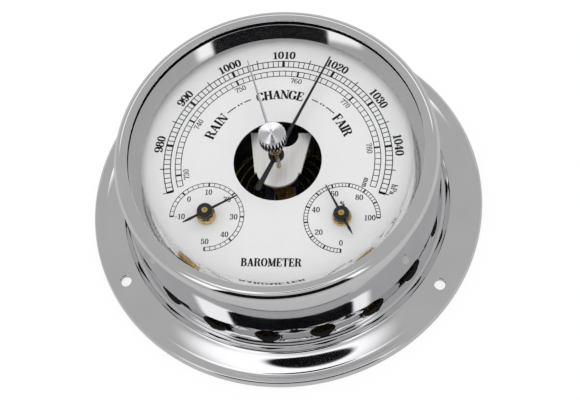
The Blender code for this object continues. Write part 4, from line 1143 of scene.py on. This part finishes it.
def build_bridge_plate(brushed, dark):
    """The brushed tongue with its notch, on two legs and two wings, with everything under the tongue painted
    dark as painted shade.
    """
    top = high("bridge_plate")
    bottom = top - 1.0
    back = 11.5
    notch_x, notch_radius, notch_y = 1.6, 4.0, back - 0.9
    reach = math.degrees(math.asin((back - notch_y) / notch_radius))
    outline = [(-9.4, back), (-7.4, -2.4)]
    outline += arc((-0.2, -1.6), (6.6, 5.6), 188, 352, 40)
    outline += [(7.0, -2.4), (9.8, back)]
    outline += arc((notch_x, notch_y), (notch_radius, notch_radius), reach, -180.0 - reach, 30)
    shells = [extruded(outline, bottom, top, 0.12)]
    wing_bottom = low("bridge_plate")
    for left, right in ((-9.2, -5.6), (6.0, 9.6)):
        leg = [(left, back - 1.0), (right, back - 1.0), (right, back - 0.05), (left, back - 0.05)]
        shells.append(extruded(leg, wing_bottom + 0.3, bottom + 0.5))
    for left, right in ((-25.0, -6.2), (6.6, 25.0)):
        wing = [(left, back - 0.8), (right, back - 0.8), (right, back + 6.0), (left, back + 6.0)]
        shells.append(extruded(soften(wing, 1.0), wing_bottom, wing_bottom + 1.1, 0.1))
    item = store("bridge", joined(*shells), (brushed, dark), ("bridge_plate",))
    # Faces under the tongue take the dark material: painted shade under the plate.
    for face in item.data.polygons:
        face.material_index = 1 if face.center.z < (bottom - 0.1) * MM else 0
    carve(item, turned(tube(0.0, 0.72, bottom - 1, top + 1), 32))


def build_screw(node, slot_up, metal, body="case"):
    """A slotted screw with a rounded head."""
    place = middle(node)
    radius, bottom, top = half_width(node), low(node), high(node)
    head = min(1.4, (top - bottom) * 0.5)
    shank = radius * 0.5
    if slot_up:
        seat = top - head
        profile = [(0.0, bottom), (shank, bottom), (shank, seat), (radius, seat), (radius, top), (0.0, top)]
        slot_low, slot_high = top - 0.4, top + 1.0
    else:
        seat = bottom + head
        profile = [(0.0, bottom), (radius, bottom), (radius, seat), (shank, seat), (shank, top), (0.0, top)]
        slot_low, slot_high = bottom - 1.0, bottom + 0.4
    item = store(node + "_head", moved(turned(soften(profile, 0.2), 64), place), (metal,), (node,),
        body)
    reach, half = radius + 1.0, 0.25
    cut = extruded([(-reach, -half), (reach, -half), (reach, half), (-reach, half)], slot_low, slot_high)
    carve(item, moved(cut, place, 35.0))


# ---------------------------------------------------------------- materials

def make_node(tree, kind, **values):
    """A new shader node with its settings."""
    made = tree.nodes.new(kind)
    for name, value in values.items():
        setattr(made, name, value)
    return made


def feed(tree, socket, value):
    """Set a socket to a value, or link it when the value is another node's socket."""
    if isinstance(value, bpy.types.NodeSocket):
        tree.links.new(value, socket)
    else:
        socket.default_value = value


def mixed_colour(tree, factor, first, second):
    """A mix of two colours; each part is a value or another node's socket."""
    mix = make_node(tree, "ShaderNodeMix", data_type="RGBA")
    feed(tree, mix.inputs[0], factor)
    colours = [socket for socket in mix.inputs if socket.type == "RGBA"]
    for socket, colour in zip(colours, (first, second)):
        feed(tree, socket, colour)
    return [socket for socket in mix.outputs if socket.type == "RGBA"][0]


class Finish:
    """A Principled material under construction."""

    def __init__(self, name, colour, metallic, roughness):
        self.material = bpy.data.materials.new(name)
        self.material.use_nodes = True
        self.tree = self.material.node_tree
        self.shader = self.tree.nodes["Principled BSDF"]
        self.shader.inputs["Base Color"].default_value = (*colour, 1.0)
        self.shader.inputs["Metallic"].default_value = metallic
        self.shader.inputs["Roughness"].default_value = roughness
        self.bump = None

    def node(self, kind, **values):
        """A new node in this material."""
        return make_node(self.tree, kind, **values)

    def link(self, output, socket):
        """Join an output to a socket."""
        self.tree.links.new(output, socket)

    def place(self, scale=(1.0, 1.0, 1.0), turn=0.0):
        """Object coordinates in millimetres, stretched and turned about Z."""
        coordinates = self.node("ShaderNodeTexCoord")
        mapping = self.node("ShaderNodeMapping", vector_type="TEXTURE")
        mapping.inputs["Scale"].default_value = [MM / part for part in scale]
        mapping.inputs["Rotation"].default_value = (0.0, 0.0, math.radians(turn))
        self.link(coordinates.outputs["Object"], mapping.inputs["Vector"])
        return mapping.outputs["Vector"]

    def axes(self):
        """Object coordinates in metres, split into X, Y and Z."""
        coordinates = self.node("ShaderNodeTexCoord")
        split = self.node("ShaderNodeSeparateXYZ")
        self.link(coordinates.outputs["Object"], split.inputs["Vector"])
        return split

    def turning_lines(self, per_millimetre):
        """Noise that changes with the distance from the axis and with height only."""
        split = self.axes()
        flat = self.node("ShaderNodeCombineXYZ")
        self.link(split.outputs["X"], flat.inputs["X"])
        self.link(split.outputs["Y"], flat.inputs["Y"])
        length = self.node("ShaderNodeVectorMath", operation="LENGTH")
        self.link(flat.outputs["Vector"], length.inputs[0])
        ring = self.node("ShaderNodeCombineXYZ")
        self.link(length.outputs["Value"], ring.inputs["X"])
        self.link(split.outputs["Z"], ring.inputs["Y"])
        return self.noise(ring.outputs["Vector"], per_millimetre / MM)

    def noise(self, vector, scale, detail=3.0):
        """A noise texture's value."""
        noise = self.node("ShaderNodeTexNoise")
        noise.inputs["Scale"].default_value = scale
        noise.inputs["Detail"].default_value = detail
        self.link(vector, noise.inputs["Vector"])
        return noise.outputs["Fac"]

    def spread(self, value, low_value, high_value, start=0.3, end=0.7):
        """A value's middle range, stretched to two ends."""
        span = self.node("ShaderNodeMapRange")
        span.inputs["From Min"].default_value = start
        span.inputs["From Max"].default_value = end
        span.inputs["To Min"].default_value = low_value
        span.inputs["To Max"].default_value = high_value
        self.link(value, span.inputs["Value"])
        return span.outputs["Result"]

    def roughness_from(self, value, low_value, high_value):
        """Let a value steer the roughness."""
        self.link(self.spread(value, low_value, high_value), self.shader.inputs["Roughness"])

    def colour_from(self, value, first, second, start=0.3, end=0.7):
        """Let a value mix the base colour."""
        factor = self.spread(value, 0.0, 1.0, start, end)
        result = mixed_colour(self.tree, factor, (*first, 1.0), (*second, 1.0))
        self.link(result, self.shader.inputs["Base Color"])

    def relief(self, value, strength, depth):
        """Add a value as bump over the bumps so far."""
        bump = self.node("ShaderNodeBump")
        bump.inputs["Strength"].default_value = strength
        bump.inputs["Distance"].default_value = depth * MM
        self.link(value, bump.inputs["Height"])
        if self.bump:
            self.link(self.bump, bump.inputs["Normal"])
        self.bump = bump.outputs["Normal"]
        self.link(self.bump, self.shader.inputs["Normal"])


def shade(colour, factor):
    """A colour made darker or lighter."""
    return tuple(part * factor for part in colour)


def chrome_finish(name, colour, low_value=0.025, high_value=0.075):
    """Polished plate: faint turning lines, cloudy wipe marks and small changes of tint."""
    finish = Finish(name, colour, 1.0, 0.05)
    lines = finish.turning_lines(1.6)
    cloud = finish.noise(finish.place(), 0.09, 5.0)
    finish.roughness_from(cloud, low_value, high_value)
    finish.colour_from(cloud, shade(colour, 0.975), shade(colour, 1.02))
    finish.relief(lines, 0.12, 0.004)
    return finish.material


def knob_finish():
    """Chromed and turned: fine lines round the axis stretch every reflection across them."""
    colour = (0.84, 0.84, 0.87)
    finish = Finish("chromed_knob", colour, 1.0, 0.08)
    lines = finish.turning_lines(3.2)
    finish.roughness_from(lines, 0.10, 0.20)
    finish.colour_from(lines, shade(colour, 0.93), colour)
    finish.relief(lines, 0.30, 0.010)
    finish.shader.inputs["Anisotropic"].default_value = 0.8
    tangent = finish.node("ShaderNodeTangent", direction_type="RADIAL", axis="Z")
    finish.link(tangent.outputs["Tangent"], finish.shader.inputs["Tangent"])
    return finish.material


def dial_finish():
    """White satin paint with a fine grain."""
    colour = (0.775, 0.775, 0.78)
    finish = Finish("white_dial_paint", colour, 0.0, 0.45)
    place = finish.place()
    grain, cloud = finish.noise(place, 5.0), finish.noise(place, 0.12)
    finish.roughness_from(grain, 0.38, 0.52)
    finish.colour_from(cloud, shade(colour, 0.985), shade(colour, 1.01))
    finish.relief(grain, 0.15, 0.01)
    finish.shader.inputs["Specular IOR Level"].default_value = 0.2
    return finish.material


def ink_finish():
    """Black printing ink with a slight grain."""
    finish = Finish("black_print", (0.012, 0.012, 0.013), 0.0, 0.5)
    grain = finish.noise(finish.place(), 9.0)
    finish.colour_from(grain, (0.008, 0.008, 0.009), (0.020, 0.020, 0.021))
    finish.roughness_from(grain, 0.4, 0.65)
    finish.shader.inputs["Specular IOR Level"].default_value = 0.15
    return finish.material


def paint_finish(name, colour, glossy, rough):
    """Black paint with a slight orange peel."""
    finish = Finish(name, colour, 0.0, glossy)
    place = finish.place()
    grain, cloud = finish.noise(place, 2.5), finish.noise(place, 0.3)
    finish.roughness_from(cloud, glossy, rough)
    finish.colour_from(cloud, shade(colour, 0.7), shade(colour, 1.4))
    finish.relief(grain, 0.2, 0.02)
    return finish.material


def brushed_finish(name, colour, turn, low_value, high_value, metallic=1.0):
    """Metal brushed along one direction."""
    finish = Finish(name, colour, metallic, low_value)
    strokes = finish.noise(finish.place((0.05, 4.0, 1.0), turn), 1.0, 4.0)
    cloud = finish.noise(finish.place(), 0.2)
    finish.roughness_from(strokes, low_value, high_value)
    finish.colour_from(strokes, shade(colour, 0.88), shade(colour, 1.05))
    finish.relief(strokes, 0.25, 0.01)
    finish.relief(cloud, 0.08, 0.05)
    return finish.material


def brass_finish(name, colour, low_value=0.16, high_value=0.32):
    """Turned brass, a little tarnished in patches."""
    finish = Finish(name, colour, 1.0, low_value)
    lines = finish.turning_lines(4.0)
    cloud = finish.noise(finish.place(), 0.6)
    finish.roughness_from(cloud, low_value, high_value)
    finish.colour_from(cloud, shade(colour, 0.72), shade(colour, 1.08))
    finish.relief(lines, 0.25, 0.01)
    return finish.material


def capsule_finish():
    """Gold metal painted near black below its ridge tops as painted shade; the gold left on the ridge tops
    stands for their glints, a painted highlight.
    """
    gold = (0.55, 0.36, 0.10)
    finish = Finish("capsule_gold_painted_shade", gold, 1.0, 0.25)
    top = high("aneroid_capsule") * MM
    # Painted shade and painted highlight by height: near black below, gold only on the ridge tops.
    finish.colour_from(finish.axes().outputs["Z"], (0.008, 0.006, 0.004), gold, top - 0.00022, top - 0.00004)
    cloud = finish.noise(finish.place(), 0.4)
    finish.roughness_from(cloud, 0.24, 0.34)
    finish.relief(finish.noise(finish.place(), 2.0), 0.05, 0.01)
    return finish.material


def ribbon_finish():
    """The coated ribbon of the hygrometer's coil."""
    colour = (0.70, 0.62, 0.46)
    finish = Finish("humidity_ribbon", colour, 0.0, 0.7)
    grain = finish.noise(finish.place(), 3.0)
    finish.colour_from(grain, shade(colour, 0.85), shade(colour, 1.08))
    finish.roughness_from(grain, 0.6, 0.8)
    finish.relief(grain, 0.3, 0.02)
    return finish.material


def rubber_finish():
    """Black rubber with a fine grain."""
    colour = (0.018, 0.018, 0.019)
    finish = Finish("rubber_gasket", colour, 0.0, 0.7)
    grain = finish.noise(finish.place(), 4.0)
    finish.colour_from(grain, shade(colour, 0.7), shade(colour, 1.5))
    finish.roughness_from(grain, 0.6, 0.85)
    finish.relief(grain, 0.3, 0.03)
    return finish.material


def glass_finish():
    """Clear flat glass: almost nothing from in front, more towards grazing, with faint smears."""
    finish = Finish("clear_glass", (0.02, 0.024, 0.023), 0.0, 0.02)
    weight = finish.node("ShaderNodeLayerWeight")
    weight.inputs["Blend"].default_value = 0.25
    smear = finish.noise(finish.place(), 0.07, 4.0)
    finish.roughness_from(smear, 0.01, 0.05)
    opacity = finish.node("ShaderNodeMapRange")
    opacity.inputs["To Min"].default_value = 0.01
    opacity.inputs["To Max"].default_value = 0.12
    finish.link(weight.outputs["Fresnel"], opacity.inputs["Value"])
    finish.link(opacity.outputs["Result"], finish.shader.inputs["Alpha"])
    return finish.material


def assign(material, *nodes):
    """Give a CAD node that stays visible its finished material."""
    for name in nodes:
        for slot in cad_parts[name].material_slots:
            slot.material = material


# ---------------------------------------------------------------- studio

def maths(tree, operation, first, second=0.0):
    """A Math node's result, from numbers or from other nodes' sockets."""
    made = make_node(tree, "ShaderNodeMath", operation=operation)
    feed(tree, made.inputs[0], first)
    feed(tree, made.inputs[1], second)
    return made.outputs["Value"]


def rise(tree, value, start, end):
    """A smooth step from 0 at the start to 1 at the end."""
    made = make_node(tree, "ShaderNodeMapRange", interpolation_type="SMOOTHSTEP")
    made.inputs["From Min"].default_value = start
    made.inputs["From Max"].default_value = end
    tree.links.new(value, made.inputs["Value"])
    return made.outputs["Result"]


def along_axis(tree, direction, axis):
    """How far a direction reaches along an axis."""
    made = make_node(tree, "ShaderNodeVectorMath", operation="DOT_PRODUCT")
    tree.links.new(direction, made.inputs[0])
    made.inputs[1].default_value = axis
    return made.outputs["Value"]


def world_zone(tree, direction, azimuth, half, low_elevation, high_elevation, soft):
    """A soft-edged patch of the sky, as a factor."""
    split = make_node(tree, "ShaderNodeSeparateXYZ")
    tree.links.new(direction, split.inputs["Vector"])
    east, north, up = split.outputs
    cosine, sine = polar(1.0, azimuth)
    squares = [maths(tree, "MULTIPLY", part, part) for part in (east, north)]
    level = maths(tree, "SQRT", maths(tree, "ADD", *squares))
    shares = [maths(tree, "MULTIPLY", east, cosine), maths(tree, "MULTIPLY", north, sine)]
    towards = maths(tree, "ADD", *shares)
    alignment = maths(tree, "DIVIDE", towards, maths(tree, "MAXIMUM", level, 0.0001))
    sides = rise(tree, alignment, polar(1.0, half + soft)[0], polar(1.0, half - soft)[0])
    bottom = rise(tree, up, polar(1.0, low_elevation - soft)[1], polar(1.0, low_elevation + soft)[1])
    top = rise(tree, up, polar(1.0, high_elevation + soft)[1], polar(1.0, high_elevation - soft)[1])
    return maths(tree, "MULTIPLY", maths(tree, "MULTIPLY", sides, bottom), top)


def world_oval(tree, direction, azimuth, elevation, across, along, soft):
    """A soft-edged oval lamp in the sky, as a factor; its half sizes are in degrees."""
    level, up = polar(1.0, elevation)
    toward = (*polar(level, azimuth), up)
    sideways = (*polar(1.0, azimuth + 90.0), 0.0)
    upward = (*polar(-up, azimuth), level)
    offsets = make_node(tree, "ShaderNodeCombineXYZ")
    for socket, axis, half in (("X", sideways, across), ("Y", upward, along)):
        size = math.sin(math.radians(half))
        share = along_axis(tree, direction, [part / size for part in axis])
        tree.links.new(share, offsets.inputs[socket])
    distance = make_node(tree, "ShaderNodeVectorMath", operation="LENGTH")
    tree.links.new(offsets.outputs["Vector"], distance.inputs[0])
    inside = rise(tree, distance.outputs["Value"], 1.0 + soft, 1.0 - soft)
    front = maths(tree, "GREATER_THAN", along_axis(tree, direction, toward), 0.0)
    return maths(tree, "MULTIPLY", inside, front)


def build_world():
    """White light all round; what polished metal reflects has dark and bright panels."""
    world = bpy.data.worlds.new("studio")
    bpy.context.scene.world = world
    bpy.context.scene.view_settings.view_transform = "Standard"
    world.use_nodes = True
    tree = world.node_tree
    direction = make_node(tree, "ShaderNodeTexCoord").outputs["Generated"]
    sky = DOME
    for colour, *zone in PANELS:
        sky = mixed_colour(tree, world_zone(tree, direction, *zone), sky, colour)
    for colour, *oval in OVALS:
        sky = mixed_colour(tree, world_oval(tree, direction, *oval), sky, colour)
    path = make_node(tree, "ShaderNodeLightPath")
    lit = mixed_colour(tree, path.outputs["Is Camera Ray"], DIFFUSE_LIGHT, WHITE)
    shown = mixed_colour(tree, path.outputs["Is Glossy Ray"], lit, sky)
    tree.links.new(shown, tree.nodes["Background"].inputs["Color"])


def build_floor():
    """A plain pale floor, white to the camera and as grey as the dome in reflections."""
    mesh = bmesh.new()
    bmesh.ops.create_grid(mesh, x_segments=1, y_segments=1, size=FLOOR_HALF_WIDTH)
    data = bpy.data.meshes.new("floor")
    mesh.to_mesh(data)
    mesh.free()
    floor = bpy.data.objects.new("floor", data)
    floor.location.z = -FLOOR_DROP
    bpy.context.scene.collection.objects.link(floor)
    material = bpy.data.materials.new("pale_floor")
    material.use_nodes = True
    tree = material.node_tree
    shader = tree.nodes["Principled BSDF"]
    shader.inputs["Base Color"].default_value = (0.95, 0.95, 0.95, 1.0)
    shader.inputs["Roughness"].default_value = 1.0
    shader.inputs["Specular IOR Level"].default_value = 0.0
    path = make_node(tree, "ShaderNodeLightPath")
    glow = make_node(tree, "ShaderNodeEmission")
    tone = mixed_colour(tree, path.outputs["Is Glossy Ray"], WHITE, DOME)
    tree.links.new(tone, glow.inputs["Color"])
    mix = make_node(tree, "ShaderNodeMixShader")
    mix.inputs["Fac"].default_value = FLOOR_GLOW
    tree.links.new(shader.outputs["BSDF"], mix.inputs[1])
    tree.links.new(glow.outputs["Emission"], mix.inputs[2])
    tree.links.new(mix.outputs["Shader"], tree.nodes["Material Output"].inputs["Surface"])
    data.materials.append(material)


def build_camera():
    """The camera at its distance from the dial, turned about its own axis."""
    data = bpy.data.cameras.new("camera")
    data.lens = CAMERA_LENS
    data.sensor_width = SENSOR_WIDTH
    data.clip_start = 0.01
    camera = bpy.data.objects.new("camera", data)
    bpy.context.scene.collection.objects.link(camera)
    azimuth, elevation = math.radians(CAMERA_AZIMUTH), math.radians(CAMERA_ELEVATION)
    level = math.cos(elevation)
    back = Vector((math.sin(azimuth) * level, -math.cos(azimuth) * level, math.sin(elevation)))
    camera.location = Vector(CAMERA_AIM) + back * CAMERA_DISTANCE
    roll = Matrix.Rotation(math.radians(CAMERA_ROLL), 4, "Z")
    camera.rotation_euler = (back.to_track_quat("Z", "Y").to_matrix().to_4x4() @ roll).to_euler()
    bpy.context.scene.camera = camera


def build_all():
    """Every piece with its material."""
    chrome = chrome_finish("polished_chrome", (0.80, 0.80, 0.815))
    mirror = chrome_finish("mirror_chrome", (0.82, 0.82, 0.83), 0.05, 0.10)
    # painted shade: this near black stands for the shade inside the case, under the dial and under the
    # bridge plate
    dark = paint_finish("inside_painted_shade", (0.010, 0.010, 0.011), 0.55, 0.75)
    paint = paint_finish("satin_black", (0.014, 0.014, 0.016), 0.3, 0.45)
    black = paint_finish("hand_black", (0.010, 0.010, 0.013), 0.28, 0.42)
    brass = brass_finish("turned_brass", (0.80, 0.56, 0.20))
    steel = brushed_finish("machined_steel", (0.42, 0.42, 0.43), 20.0, 0.25, 0.42)
    # painted shade: the movement's base is steel darkened to near black to stand for the shade inside the
    # case
    steel_in_painted_shade = brushed_finish("steel_in_painted_shade", (0.035, 0.035, 0.036), 70.0, 0.35, 0.5)
    brushed = brushed_finish("brushed_nickel", (0.93, 0.92, 0.90), 90.0, 0.28, 0.40, 0.55)
    silver = brushed_finish("nickelled_hand", (0.74, 0.75, 0.78), MARKER_AZIMUTH, 0.16, 0.30)
    blued = brushed_finish("blued_spring_steel", (0.05, 0.06, 0.11), 0.0, 0.28, 0.42)
    bimetal = brushed_finish("bimetal_strip", (0.60, 0.42, 0.22), 45.0, 0.25, 0.4)

    build_case(chrome, dark)
    build_bezel(chrome)
    build_glass(glass_finish())
    build_gasket(rubber_finish())
    build_reflector(mirror)
    build_back(paint)
    build_dial(dial_finish(), dark)
    build_print(ink_finish())

    build_instrument("thermometer", THERMOMETER_CENTRE, THERMOMETER_AZIMUTH, black, brass)
    build_instrument("hygrometer", HYGROMETER_CENTRE, HYGROMETER_AZIMUTH, black, brass)
    build_centre(black, brass)
    build_marker(silver)
    build_knob(knob_finish())
    build_stem(brass, steel)

    build_capsule(capsule_finish())
    build_bridge_plate(brushed, dark)
    for number in (1, 2, 3):
        build_screw(f"back_screw_{number}", False, steel)
        build_screw(f"pillar_screw_{number}", False, steel)
    for number in (1, 2):
        build_screw(f"bridge_screw_{number}", True, steel)
        build_screw(f"spring_screw_{number}", True, steel)
    build_screw("calibration_screw", False, brass, "calibration")
    assign(brass, "bearing_plate", "rocker_bracket", "capsule_foot", "capsule_stud", "hairspring_stud")
    assign(brass, "bridge_pillar_1", "bridge_pillar_2", "dial_pillar_1", "dial_pillar_2", "dial_pillar_3")
    assign(brass, "thermometer_post", "hygrometer_post", "back_ring", "dial_support_ring")
    # The movement base gets the steel darkened as painted shade.
    assign(steel_in_painted_shade, "movement_base")
    assign(steel, "main_lever", "rocker_shaft", "link_rod", "chain")
    assign(blued, "main_spring", "hairspring")
    assign(bimetal, "thermometer_coil")
    assign(ribbon_finish(), "hygrometer_coil")


build_all()
build_world()
build_floor()
build_camera()
